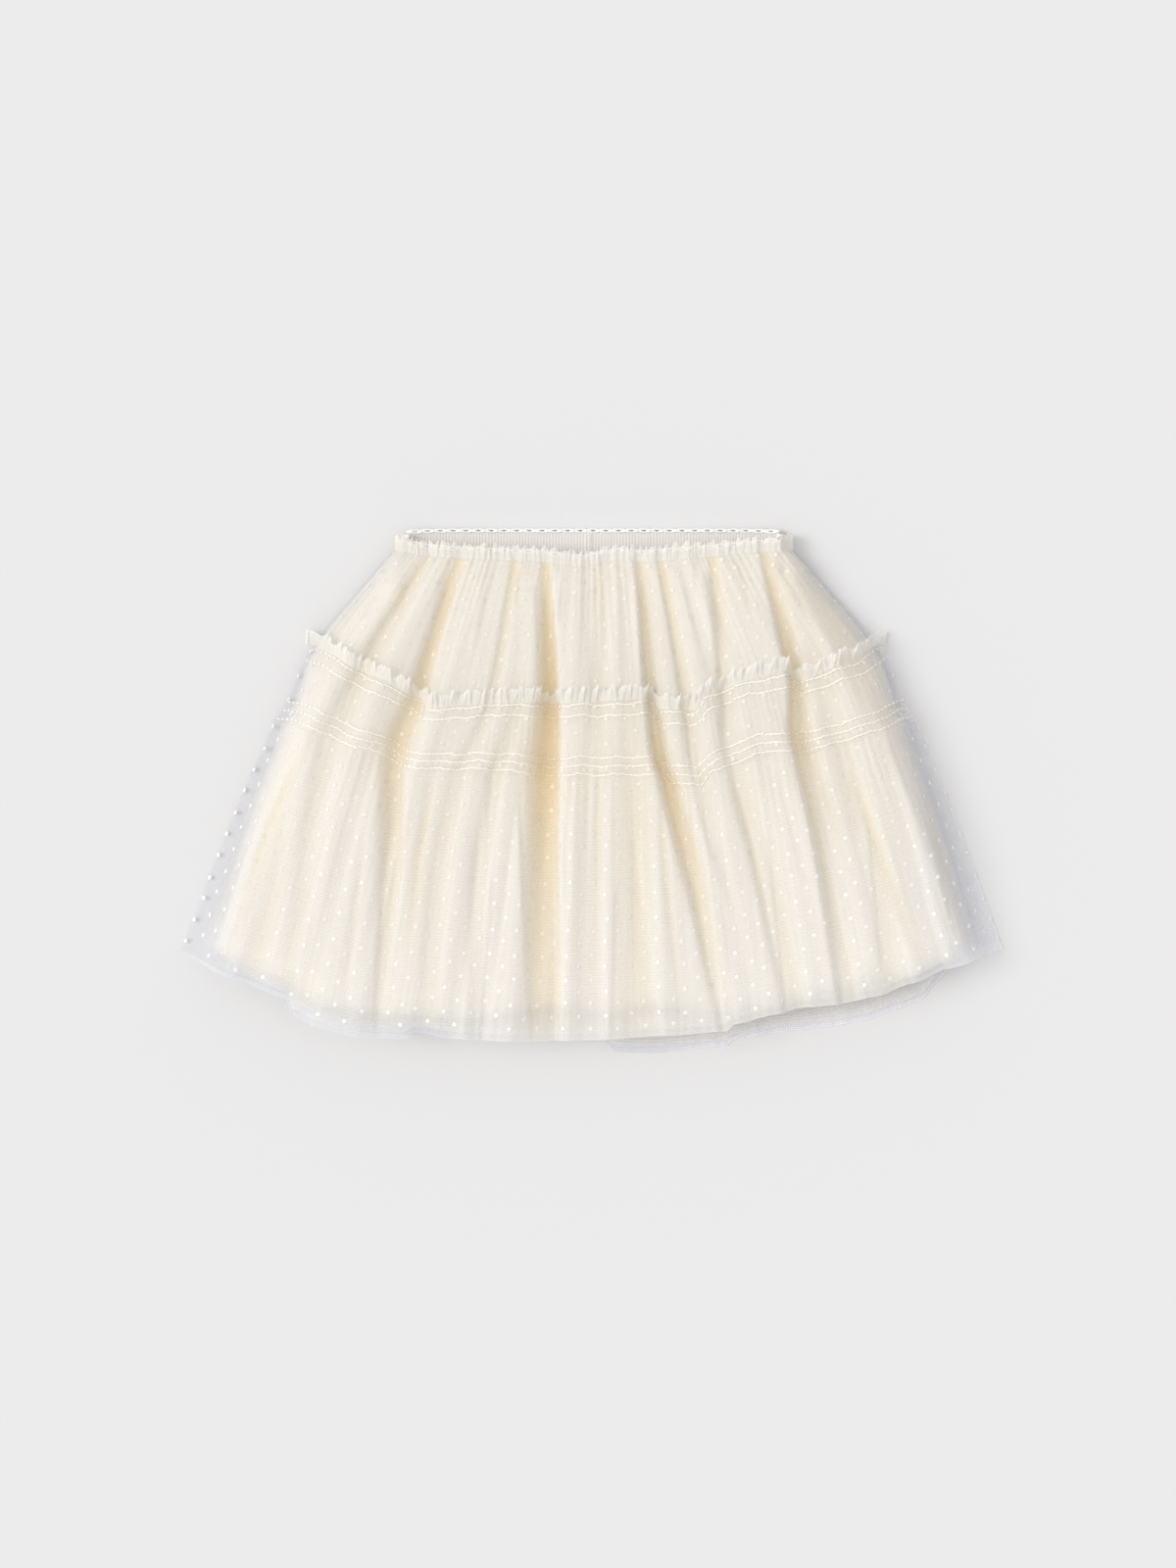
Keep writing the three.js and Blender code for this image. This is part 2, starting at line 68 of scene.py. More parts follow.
def buildStage():
    selectNothing()
    bpy.ops.mesh.primitive_plane_add(size=studio["floorSize"], location=(0, 0, 0))
    floor = bpy.context.object
    floor.name = "studioFloor"
    paper = bpy.data.materials.new("studioPaper")
    paper.use_nodes = True
    shader = paper.node_tree.nodes["Principled BSDF"]
    shader.inputs["Base Color"].default_value = (*studio["floorTone"], 1)
    shader.inputs["Roughness"].default_value = studio["floorRoughness"]
    shader.inputs["Specular IOR Level"].default_value = studio["floorGloss"]
    floor.data.materials.append(paper)

    bpy.ops.object.light_add(type="SUN", location=(-1, 0.6, 2))
    sun = bpy.context.object
    sun.name = "softSun"
    sun.rotation_euler = (radians(-studio["sunTilt"][0]), radians(studio["sunTilt"][1]), 0)
    sun.data.energy = studio["sunStrength"]
    sun.data.angle = radians(studio["sunAngle"])

    world = bpy.data.worlds.new("studioSky")
    bpy.context.scene.world = world
    world.use_nodes = True
    background = world.node_tree.nodes["Background"]
    background.inputs["Color"].default_value = (*studio["skyTone"], 1)
    background.inputs["Strength"].default_value = studio["skyStrength"]

    distance = studio["frameTall"] * studio["lens"] / studio["sensor"]
    x, y = studio["aimedAt"]
    bpy.ops.object.camera_add(location=(x * mm, y * mm, (distance + studio["aimHeight"]) * mm))
    camera = bpy.context.object
    camera.name = "photoCamera"
    camera.rotation_euler = (0, 0, 0)
    camera.data.lens = studio["lens"]
    camera.data.sensor_width = studio["sensor"]
    camera.data.clip_end = 20
    bpy.context.scene.camera = camera
    bpy.context.scene.view_settings.view_transform = "Standard"
    bpy.context.scene.cycles.transparent_max_bounces = 32


buildStage()
print("stage set")


# The skirt as laid out, in mm: half its width, where its middle is and how high the front's crowns stand.
# Level 0 is the waist seam, 1 the tier seam, 2 the foot of the shirred band and 3 the hem
plan = {
    "level": [0, 0.45, 1, 2, 2.35, 3],
    "half": [123, 147, 173.5, 198.5, 219, 253.5],
    "middle": [1.2, 1.8, 2.4, 2.4, 1.5, 0],
    "crown": [2.5, 13, 19, 21, 20, 14],
}
waistHalf, waistMiddle = plan["half"][0], plan["middle"][0]
tierHalf = plan["half"][2]

# Seams and hems: share of the half width from left to right, and place along Y
seamLines = {
    "waist": [(-1, 147.6), (-0.84, 144), (-0.6, 142.2), (-0.31, 141), (-0.05, 137.4),
              (0.12, 141.6), (0.26, 140.4), (0.55, 143.4), (0.83, 146.4), (1, 147.6)],
    "tier": [(-1, 89.4), (-0.79, 70.5), (-0.62, 56.4), (-0.585, 49.5), (-0.45, 52), (-0.2, 54),
             (-0.14, 53), (0.19, 55.5), (0.225, 49.5), (0.345, 49), (0.385, 58.5), (0.58, 69),
             (0.66, 73), (0.71, 66.5), (0.91, 79.5), (1, 89.4)],
    "bandFoot": [(-1, 42.6), (-0.67, 21.5), (-0.6, 12), (-0.23, 9.6), (-0.14, 6), (0.1, 7.8), (0.2, 6),
                 (0.24, 1.5), (0.32, 1.5), (0.36, 10), (0.57, 22.5), (0.63, 21), (0.69, 23.5), (1, 42.6)],
    "hem": [(-1, -99), (-0.97, -103), (-0.86, -115.6), (-0.735, -127), (-0.72, -137.5), (-0.66, -144.8),
            (-0.56, -151), (-0.445, -151.8), (-0.43, -147.6), (-0.32, -151.8), (-0.163, -153.5),
            (0.015, -152.4), (0.178, -149.6), (0.325, -147), (0.345, -142.6), (0.443, -136.7),
            (0.51, -132.5), (0.59, -130.8), (0.682, -125.8), (0.775, -117.4), (0.855, -109), (1, -98.5)],
    "liningHem": [(-1, -86), (-0.77, -114), (-0.654, -127), (-0.5, -133), (-0.295, -136), (-0.09, -130),
                  (0.05, -133), (0.14, -128), (0.3, -133), (0.417, -127.5), (0.55, -120), (0.75, -110),
                  (0.9, -97), (1, -86)],
    "backWaist": [(-1, 147.6), (-0.6, 149.8), (0, 150.3), (0.6, 149.8), (1, 147.6)],
    "backTier": [(-1, 89.4), (-0.5, 66), (0, 58), (0.5, 66), (1, 89.4)],
    "backFoot": [(-1, 42.6), (-0.5, 19), (0, 11), (0.5, 19), (1, 42.6)],
    "backHem": [(-1, -99.5), (-0.97, -103), (-0.86, -115), (-0.735, -126), (-0.71, -137), (-0.56, -149),
                (-0.43, -150.5), (-0.2, -155), (0.035, -155), (0.055, -161.5), (0.16, -162), (0.33, -157.5),
                (0.345, -153.5), (0.483, -148.5), (0.569, -146), (0.656, -142.6), (0.742, -135),
                (0.8, -129.5), (0.835, -119), (0.87, -110.5), (1, -98)],
}

# The valleys between the front's lobes: where each runs in X, how deep it is and how much warm shade is
# painted into the net in it at the five valleyLevels, then its half width on the left and on the right, each
# at the waist and at the hem
valleyLevels = [0, 1, 2, 2.35, 3]
valleyColumns = ("run", "deep", "warmShade", "left", "right")
valleyTable = [
    ((-79, -105, -119, -121, -132), (3, 10, 11, 7, 3), (0.5, 0.6, 0.5, 0.25, 0.05), (4, 9), (2.5, 5)),
    ((-99, -138, -158, -168, -181), (2, 5, 4, 4, 2.5), (0.3, 0.15, 0.05, 0.1, 0.05), (3, 9), (3, 9)),
    ((-140, -178, -186, -192, -207), (0, 0, 2, 3, 2), (0, 0, 0, 0.1, 0.1), (5, 10), (5, 10)),
    ((-46, -60, -80, -92, -98), (2, 3, 2, 3, 2), (0.5, 0.1, 0.1, 0.1, 0.05), (2.5, 7), (1.6, 7)),
    ((-40, -44, -58, -67, -69), (0, 1, 3, 4, 3), (0.1, 0.1, 0.1, 0.15, 0.05), (4, 6), (4, 6)),
    ((-27, -23, -24, -24, -23), (3, 15, 17, 12, 7), (0.5, 1.0, 0.95, 0.6, 0.3), (4, 15), (1.8, 4)),
    ((8, 4, 1, 1, -2), (1, 3, 3, 4, 3), (0.1, 0.1, 0.1, 0.15, 0.1), (5, 8), (5, 8)),
    ((20, 24, 27, 30, 29), (0, 2, 3, 4, 3), (0, 0.1, 0.15, 0.25, 0.15), (5, 9), (5, 9)),
    ((28.5, 36, 46, 60, 82), (3, 13, 14, 9, 3), (0.5, 0.4, 0.75, 0.45, 0.05), (1.8, 4), (3.5, 8)),
    ((42, 58, 67, 78, 96), (2, 4, 2, 3, 2), (0.5, 0.2, 0.1, 0.1, 0.05), (1.8, 6), (2.5, 7)),
    ((73.5, 81, 88, 102, 122), (2, 6, 4, 6, 4), (0.5, 0.1, 0.05, 0.15, 0.1), (2, 6), (3, 10)),
    ((104, 122, 127, 139, 155), (3, 12, 13, 9, 4), (0.5, 0.5, 0.4, 0.15, 0.05), (1.8, 3.5), (4, 10)),
    ((112, 140, 154, 166, 186), (0, 3, 3, 3, 2), (0, 0.1, 0.1, 0.15, 0.1), (5, 9), (5, 9)),
    ((118, 158, 180, 194, 222), (0, 4, 4, 4, 3), (0, 0.1, 0.1, 0.1, 0), (5, 10), (5, 10)),
]
valleys = [dict(zip(valleyColumns, row)) for row in valleyTable]

# Soft creases: share and level of the upper end, share and level of the lower end, depth (a
# ridge is negative) and half width in mm
creases = [
    (-0.84, 0.05, -0.80, 0.55, 0.9, 2.4), (-0.70, 0.02, -0.66, 0.42, 1.1, 2.2),
    (-0.52, 0.03, -0.47, 0.70, -1.2, 3.0), (-0.36, 0.02, -0.33, 0.35, 1.3, 1.8),
    (-0.16, 0.04, -0.17, 0.60, -0.9, 2.0), (0.02, 0.02, 0.00, 0.40, 1.2, 1.9),
    (0.17, 0.03, 0.15, 0.50, 0.8, 2.4), (0.40, 0.02, 0.39, 0.66, -1.1, 2.6),
    (0.50, 0.04, 0.45, 0.30, 1.2, 2.0), (0.70, 0.03, 0.63, 0.55, 1.0, 2.2),
    (0.88, 0.05, 0.84, 0.60, 0.9, 2.4), (-0.88, 2.05, -0.90, 2.75, 1.6, 3.0),
    (-0.77, 2.02, -0.74, 2.60, -1.4, 3.2), (-0.66, 2.10, -0.60, 2.95, 1.3, 2.6),
    (-0.50, 2.02, -0.47, 2.70, 1.5, 2.8), (-0.33, 2.02, -0.30, 2.50, -1.5, 2.6),
    (-0.23, 2.05, -0.25, 2.92, 1.2, 2.4), (-0.09, 2.04, -0.07, 2.55, 1.3, 2.2),
    (0.04, 2.02, 0.03, 2.80, -1.2, 3.0), (0.19, 2.10, 0.22, 2.95, 1.4, 3.0),
    (0.30, 2.04, 0.36, 2.60, -1.5, 2.6), (0.42, 2.02, 0.47, 2.90, 1.5, 2.8),
    (0.55, 2.06, 0.57, 2.55, 1.2, 2.2), (0.64, 2.03, 0.66, 2.80, -1.3, 2.8),
    (0.76, 2.10, 0.80, 2.95, 1.6, 3.2), (0.90, 2.05, 0.92, 2.70, 1.2, 2.8),
]

# Crisp fold edges: place in X and level of the upper end, the same of the lower end, height, the side that it
# falls to, and the width in mm of the gentle side
flaps = [
    (-155, 2.25, -180, 2.90, 1.7, -1, 12), (-125, 2.02, -135, 3.10, 2.0, 1, 14),
    (-60, 2.30, -70, 3.10, 1.7, 1, 12), (-46, 2.02, -37, 3.10, 2.2, 1, 16),
    (-20.5, 2.02, -20, 3.10, 2.2, -1, 14), (14, 2.35, 10, 3.10, 1.2, 1, 9),
    (28, 2.20, 46, 3.10, 1.6, -1, 10), (63, 2.10, 86, 3.10, 1.9, -1, 14),
    (104, 2.15, 118, 3.10, 1.4, 1, 11), (125, 2.02, 152, 3.10, 2.0, 1, 14),
    (166, 2.30, 176, 2.95, 1.4, 1, 10), (190, 2.00, 222, 2.95, 1.5, 1, 10),
    (-88, 0.10, -110, 1.02, 1.2, 1, 9), (-36, 0.10, -32, 1.02, 1.2, 1, 9),
    (-24, 0.10, -20, 1.02, 1.2, -1, 9), (27, 0.10, 30, 1.02, 1.0, 1, 8),
    (68, 0.06, 74, 0.80, 0.9, 1, 8), (102, 0.10, 118, 1.02, 1.2, 1, 9),
]


def mix(a, b, share):
    return a + (b - a) * share


def ease(value):
    t = np.clip(value, 0, 1)
    return t * t * (3 - 2 * t)


def through(places, values, at):
    places, values = np.asarray(places, float), np.asarray(values, float)
    at = np.clip(at, places[0], places[-1])
    k = np.clip(np.searchsorted(places, at, side="left") - 1, 0, len(places) - 2)
    rise = np.diff(values) / np.diff(places)
    slope = np.concatenate(([rise[0]], (rise[:-1] + rise[1:]) / 2, [rise[-1]]))
    span = places[k + 1] - places[k]
    t = (at - places[k]) / span
    return (values[k] * (1 + 2 * t) * (1 - t) ** 2 + slope[k] * span * t * (1 - t) ** 2
            + values[k + 1] * t * t * (3 - 2 * t) - slope[k + 1] * span * t * t * (1 - t))


def halfAt(level):
    return through(plan["level"], plan["half"], level)


def middleAt(level):
    return through(plan["level"], plan["middle"], level)


def lineAt(name, share):
    at, y = np.array(seamLines[name], float).T
    k = np.clip(np.searchsorted(at, share, side="left") - 1, 0, len(at) - 2)
    t = np.clip((share - at[k]) / (at[k + 1] - at[k]), 0, 1)
    return mix(y[k], y[k + 1], 0.5 * ease(t) + 0.5 * t)


# Place along Y of a level, between the four lines that a panel runs through
def alongY(lines, level, share):
    k = np.clip(np.floor(level).astype(int), 0, 2)
    rows = np.stack([lineAt(name, share) for name in lines])
    upper = np.take_along_axis(rows, k[None], 0)[0]
    lower = np.take_along_axis(rows, k[None] + 1, 0)[0]
    return mix(upper, lower, level - k)


frontLines = ["waist", "tier", "bandFoot", "hem"]
backLines = ["backWaist", "backTier", "backFoot", "backHem"]


# Folds: how many broad waves cross the skirt, and how deep they are at the waist, the tier seam and the hem
folds = {
    "broad": 21, "other": 12.5, "depth": (0.9, 0.7, 0.85),
    "valleySteepness": 3.6,
    "softFloor": 6,  # rounds off where a valley reaches the layer's floor
    "fineFull": 6,  # fold height in mm at which the small gathers are nearly whole
    "flapDrop": 1.3,  # width in mm of a flap's crisp side
}

# Small gathers: how many cross the skirt, their depth, the level where they are deepest, reach and phase
gathers = [
    (58, 0.5, 0.0, 0.40, 0.4),
    (97, 0.3, 0.0, 0.16, 1.3),
    (83, 0.3, 1.0, 0.14, 2.1),
    (106, 0.24, 1.5, 0.50, 0.9),
    (71, 0.28, 2.05, 0.22, 2.7),
    (43, 0.28, 2.4, 0.50, 1.9),
    (31, 0.4, 3.0, 0.50, 0.2),
]
stitchLevels = [1.05, 1.19, 1.73, 1.84, 1.95]
stitchPinch = {"depth": 0.35, "reach": 0.03}


# Gathers that drift, bunch up and fade out, so that no two are alike
def waves(share, level, count, phase):
    drift = 1.9 * np.sin(0.23 * count * share + 2 * phase) + 0.8 * np.sin(0.61 * count * share + phase)
    patches = 0.5 + 0.45 * np.sin(9.1 * share + 2.3 * phase + 1.1 * level) + 0.3 * np.sin(21 * share + phase)
    return ease(patches) * np.sin(pi * count * share + phase + drift + 0.6 * level)


# 1 along a valley's middle, falling to 0 at its sides
def valleyShape(valley, x, level):
    side = x - through(valleyLevels, valley["run"], level)
    halfWidth = np.where(side < 0, mix(*valley["left"], level / 3), mix(*valley["right"], level / 3))
    return 1 / (1 + np.abs(side / halfWidth) ** folds["valleySteepness"])


# Height of the front folds over the floor of their valleys
def foldLift(x, share, level):
    wave = np.sin(pi * folds["broad"] * share + 1.7 * np.sin(4.3 * share + 0.5 * level) + 0.6 * level)
    other = np.sin(pi * folds["other"] * share + 2.3 * np.sin(3.1 * share - 0.9 * level) - 1.1 * level)
    patches = np.sin(5.3 * share - 1.3 * level + 0.8) + 0.8 * np.sin(11.9 * share + 0.7 * level + 2)
    wave = wave * ease(0.35 + 0.45 * patches) + 0.6 * other
    lift = through(plan["level"], plan["crown"], level) + through([0, 1, 3], folds["depth"], level) * wave
    for valley in valleys:
        deep = np.maximum(0, through(valleyLevels, valley["deep"], level))
        lift = lift - deep * valleyShape(valley, x, level)
    return (lift + np.sqrt(lift * lift + folds["softFloor"])) / 2


# Depth of the listed creases, which fade out at both ends
def creaseDepth(share, level):
    total = np.zeros_like(share)
    for share0, level0, share1, level1, depth, halfWidth in creases:
        t = (level - level0) / (level1 - level0)
        away = (share - mix(share0, share1, t)) * halfAt(level) / halfWidth
        total += depth * np.exp(-away ** 2) * np.sin(pi * np.clip(t, 0, 1)) ** 0.7
    return total


# Creases, flaps, small gathers and the pinch of the stitch rows, less where the cloth is down in a valley
def fineLift(share, level, fold):
    lift = -creaseDepth(share, level)
    for x0, level0, x1, level1, height, side, width in flaps:
        t = (level - level0) / (level1 - level0)
        beyond = (share * halfAt(level) + middleAt(level) - mix(x0, x1, t)) * side
        ends = ease(t * 5) * ease((1 - t) * 5)
        lift += height * ends * np.exp(-(beyond / np.where(beyond > 0, folds["flapDrop"], width)) ** 2)
    for count, depth, deepest, reach, phase in gathers:
        lift += depth * np.exp(-((level - deepest) / reach) ** 2) * waves(share, level, count, phase)
    for row in stitchLevels:
        lift -= stitchPinch["depth"] * np.exp(-((level - row) / stitchPinch["reach"]) ** 2)
    return lift * ease(0.25 + fold / folds["fineFull"])


# Waist: a ribbed elastic ring with a picot edge, and the frill outside it
waistElastic = {
    "halfWidth": 115, "width": 20, "low": 1.5, "high": 14.2, "squareness": 4,
    "frontTop": 4.5,  # above the waist seam
    "backTop": 158.8, "ribs": 250, "ribDepth": 0.16,
    "lap": {"at": -1.9, "halfWide": 2.2, "depth": 0.35},  # where its ends meet at the centre back
    "rows": 6, "thickness": 1.0, "flat": (470, 20),
}
waistFrill = {
    "halfWidth": 122.4, "low": 0.3, "high": 17, "standing": 8.5, "backTop": 157,
    "ruffles": 61, "depth": 0.4, "sway": 0.9, "lift": 1.4,
    "curl": (0.7, 0.9, 0.8),  # of the edge, from the broad ruffles to the tiny ones
    "crumple": (0.4, 0.35),  # up and down, from the small ruffles and the tiny ones
    "grid": (1000, 7), "thickness": 0.25, "flat": (620, 10.5), "tone": 0.65,
}

# The front's layers, from the outside in: height of the valleys' floor, share of the folds and small gathers,
# height and roll of the side edge, and how far each stands in from the side at the levels 0 to 3
frontLayers = {
    "outer": {"floor": 17.9, "folds": 1.0, "fine": 1.0, "edge": 0.95, "roll": 26, "inset": (0, 0, 0, 0),
              "lines": frontLines},
    "under": {"floor": 15.3, "folds": 0.62, "fine": 0.35, "edge": 2.2, "roll": 22, "inset": (2, 3, 6, 14),
              "lines": frontLines, "hemLift": 4, "overElastic": 0.9},
    "lining": {"floor": 13.4, "folds": 0.3, "fine": 0.25, "edge": 3.2, "roll": 20, "inset": (3, 3, 8, 20),
               "lines": ["waist", "tier", "bandFoot", "liningHem"], "lean": -3, "hemLift": -5,
               "overElastic": 0.5},
}
frontForm = {
    "waistRoll": 9, "waistDip": 2.2, "waistDipEnds": 0.14,
    "seamReach": 0.05, "tierTuck": 0.05, "footTuck": 0.03,
    "hemSlack": 0.7, "slackFrom": 1.6,  # how far the lower tier's sides run out flat, and from which level
    "elasticEnds": 0.17, "elasticFade": 0.12,
}


# The inner front layers lie on the elastic near the waist
def overElastic(x):
    away = np.clip(np.abs(x - middleAt(0)) / waistElastic["halfWidth"], 0, 1)
    rise = (1 - away ** waistElastic["squareness"]) ** (1 / waistElastic["squareness"])
    return mix(waistElastic["low"], waistElastic["high"], 0.5 + 0.5 * rise)


# x, y, z of a front layer, and how high its fold is there
def frontPoint(layer, share, level):
    outermost = layer["folds"] == 1
    half = halfAt(level) - through([0, 1, 2, 3], layer["inset"], level)
    leaning = layer.get("lean", 0) * level / 3
    x = middleAt(level) + share * half + leaning
    outerShare = (share * half + leaning) / halfAt(level)
    fold = foldLift(x, outerShare, level)
    atTier = np.exp(-((level - 1) / frontForm["seamReach"]) ** 2)
    atFoot = np.exp(-((level - 2) / frontForm["seamReach"]) ** 2)
    seamTuck = 1 - frontForm["tierTuck"] * atTier - frontForm["footTuck"] * atFoot
    nearWaist = frontForm["waistDip"] * (1 - ease(level / frontForm["waistDipEnds"])) if outermost else 0
    inner = layer["floor"] - nearWaist + layer["folds"] * fold * seamTuck
    inner = inner + layer["fine"] * fineLift(outerShare, level, fold)
    roll = mix(frontForm["waistRoll"], layer["roll"], ease(level / 0.5))
    inFromSide = np.clip((1 - np.abs(share)) * half / roll, 0, 1)
    risen = 1 - (1 - inFromSide) ** 2
    if outermost:
        risen = mix(risen, ease(inFromSide), frontForm["hemSlack"] * ease(level - frontForm["slackFrom"]))
    y = alongY(layer["lines"], level, outerShare) + layer.get("hemLift", 0) * ease(level - 2)
    z = mix(layer["edge"], inner, risen)
    if not outermost:
        onElastic = overElastic(x) + layer["overElastic"] + layer["folds"] * 0.5 * fold
        z = mix(onElastic, z, ease((level - frontForm["elasticEnds"]) / frontForm["elasticFade"]))
    return x, y, z, fold


# The layers of the back: they lie flat, with pleats pressed into them
backLayers = {
    "outer": {"floor": 0.3, "pleat": 0.75, "inset": (0, 0, 0, 0), "lines": backLines},
    "under": {"floor": 3.1, "pleat": 0.3, "inset": (6, 9, 12, 15), "lines": backLines, "hemLift": 4},
    "lining": {"floor": 4.5, "pleat": 0.2, "inset": (12, 19, 25, 32),
               "lines": ["backWaist", "backTier", "backFoot", "liningHem"]},
}
backPleats = {"broad": 19, "broadPhase": 0.3, "flatShare": 0.2, "fine": 47, "finePhase": 1.1,
              "fineDepth": 0.35, "sideFade": 8}
backFrillThickness = 1.3  # the upper tier rises by this much to lie over the tier frill


def backPoint(layer, share, level):
    half = halfAt(level) - through([0, 1, 2, 3], layer["inset"], level)
    outerShare = share * half / halfAt(level)
    broad = waves(share, level, backPleats["broad"], backPleats["broadPhase"]) - backPleats["flatShare"]
    fine = waves(share, level, backPleats["fine"], backPleats["finePhase"])
    pressed = np.maximum(0, broad) + backPleats["fineDepth"] * np.maximum(0, fine)
    awayFromTier = np.maximum(1 - ease((level - 0.6) / 0.15), ease((level - 1) / 0.1))
    awayFromSeams = ease((level - 0.12) / 0.25) * awayFromTier
    fromSide = ease((1 - np.abs(share)) * backPleats["sideFade"])
    z = layer["floor"] + layer["pleat"] * pressed * awayFromSeams * fromSide
    if layer["lines"] is backLines and "hemLift" not in layer:
        z = z + backFrillThickness * ease((level - 0.74) / 0.07) * (level < 0.999) * fromSide
    y = alongY(layer["lines"], level, outerShare) + layer.get("hemLift", 0) * ease(level - 2)
    return middleAt(level) + share * half, y, z


# Materials
def addNode(tree, kind, **settings):
    node = tree.nodes.new(kind)
    for key, value in settings.items():
        setattr(node, key, value)
    return node


def newMaterial(name, tone, roughness, sheen=0.0, specular=0.2):
    material = bpy.data.materials.new(name)
    material.use_nodes = True
    shader = material.node_tree.nodes["Principled BSDF"]
    shader.inputs["Base Color"].default_value = (*tone, 1)
    shader.inputs["Roughness"].default_value = roughness
    shader.inputs["Specular IOR Level"].default_value = specular
    shader.inputs["Sheen Weight"].default_value = sheen
    shader.inputs["Sheen Roughness"].default_value = 0.4
    return material, material.node_tree, shader


def combine(tree, operation, first, second, clamp=False):
    node = addNode(tree, "ShaderNodeMath", operation=operation, use_clamp=clamp)
    for socket, value in zip(node.inputs, (first, second)):
        if isinstance(value, (int, float)):
            socket.default_value = value
        else:
            tree.links.new(value, socket)
    return node.outputs[0]


def rescale(tree, value, low, high, toLow, toHigh):
    node = addNode(tree, "ShaderNodeMapRange")
    tree.links.new(value, node.inputs["Value"])
    for socket, number in zip(("From Min", "From Max", "To Min", "To Max"), (low, high, toLow, toHigh)):
        node.inputs[socket].default_value = number
    return node.outputs["Result"]


def addBump(tree, shader, height, strength, distance):
    bump = addNode(tree, "ShaderNodeBump")
    bump.inputs["Strength"].default_value = strength
    bump.inputs["Distance"].default_value = distance
    tree.links.new(height, bump.inputs["Height"])
    tree.links.new(bump.outputs["Normal"], shader.inputs["Normal"])


# The cloth's own flat coordinates, in metres, stretched before a texture reads them
def clothCoordinates(tree, acrossScale, downScale):
    uvMap = addNode(tree, "ShaderNodeUVMap", uv_map="cloth")
    mapping = addNode(tree, "ShaderNodeMapping")
    mapping.inputs["Scale"].default_value = (acrossScale, downScale, 1)
    tree.links.new(uvMap.outputs["UV"], mapping.inputs["Vector"])
    return mapping.outputs["Vector"]


def addTexture(tree, kind, place, scale=1.0, **settings):
    texture = addNode(tree, kind, **settings)
    texture.inputs["Scale"].default_value = scale
    tree.links.new(place, texture.inputs["Vector"])
    return texture


def streaksOf(tree, acrossScale, downScale, detail=2.0):
    place = clothCoordinates(tree, acrossScale, downScale)
    noise = addTexture(tree, "ShaderNodeTexNoise", place, noise_dimensions="2D")
    noise.inputs["Detail"].default_value = detail
    return noise.outputs["Fac"]


# What a sheet's own attribute says: its tone, or how closely it is bunched
def attributeOf(tree, name):
    return addNode(tree, "ShaderNodeAttribute", attribute_name=name).outputs["Fac"]


# Each cloth's four colours: in a valley, darker and warmer as painted shade; on a crown; where it hangs alone;
# and where it hangs alone on the shaded side, painted paler there as painted light that lifts the shade
toneOf = {"valley": 0.0, "crown": 0.7, "alone": 0.85, "shaded": 1.0}


def tonesOf(tree, colours):
    ramp = addNode(tree, "ShaderNodeValToRGB")
    stops = ramp.color_ramp.elements
    stops[0].color = (*colours["valley"], 1)
    stops[1].color = (*colours["shaded"], 1)
    for key in ("crown", "alone"):
        stops.new(toneOf[key]).color = (*colours[key], 1)
    tree.links.new(attributeOf(tree, "tone"), ramp.inputs["Fac"])
    return ramp.outputs["Color"]


# Net: threads round small cells. Closely bunched net covers more, and net in a valley is painted warmer and
# darker, as painted shade
nets = {
    "dottedNet": {"cover": (0.04, 0.80), "valley": (0.995, 0.89, 0.69), "crown": (0.975, 0.945, 0.895),
                  "alone": (0.82, 0.825, 0.88), "shaded": (0.98, 0.97, 1.0), "sheen": 0.15},
    "plainNet": {"cover": (0.03, 0.34), "valley": (0.995, 0.89, 0.69), "crown": (0.975, 0.945, 0.895),
                 "alone": (0.85, 0.855, 0.905), "shaded": (0.985, 0.98, 1.0), "sheen": 0.1},
    "frillNet": {"cover": (0.36, 0.56), "valley": (0.97, 0.88, 0.72), "crown": (0.97, 0.945, 0.88),
                 "alone": (0.985, 0.975, 0.95), "shaded": (1.0, 0.99, 0.98), "sheen": 0.25},
}
netCell = {"size": 1.15, "unevenness": 0.45, "hole": 0.35, "thread": (0.08, 0.2), "roughness": 0.7,
           "bump": (0.15, 0.0004)}
bunchedStreaks = {"across": 300, "down": 11, "faint": 0.3, "strong": 0.7, "low": 0.86, "high": 1.14}


def netMaterial(name):
    net = nets[name]
    material, tree, shader = newMaterial(name, net["crown"], netCell["roughness"], net["sheen"])
    tree.links.new(tonesOf(tree, net), shader.inputs["Base Color"])
    perMetre = 1 / (netCell["size"] * mm)
    cells = addTexture(tree, "ShaderNodeTexVoronoi", clothCoordinates(tree, perMetre, perMetre),
                       voronoi_dimensions="2D", feature="DISTANCE_TO_EDGE")
    cells.inputs["Randomness"].default_value = netCell["unevenness"]
    threads = rescale(tree, cells.outputs["Distance"], *netCell["thread"], 1.0, netCell["hole"])
    cover = rescale(tree, attributeOf(tree, "bunching"), 0.0, 1.0, *net["cover"])
    noise = streaksOf(tree, bunchedStreaks["across"], bunchedStreaks["down"])
    streaks = rescale(tree, noise, bunchedStreaks["faint"], bunchedStreaks["strong"], bunchedStreaks["low"],
                      bunchedStreaks["high"])
    covered = combine(tree, "MULTIPLY", combine(tree, "MULTIPLY", cover, threads), streaks, clamp=True)
    tree.links.new(covered, shader.inputs["Alpha"])
    addBump(tree, shader, streaks, *netCell["bump"])
    return material


# Lining: a fine plain weave with soft creases, whose edges fade out. Its valley colour is painted warm shade
liningCloth = {"valley": (0.99, 0.82, 0.54), "crown": (0.98, 0.92, 0.79), "alone": (0.985, 0.945, 0.87),
               "shaded": (0.985, 0.96, 0.92), "roughness": 0.75, "sheen": 0.1, "weave": (2800, 2800),
               "weaveUnevenness": 0.2, "creases": (90, 22), "creaseDetail": 4.0, "bump": (0.3, 0.0005)}


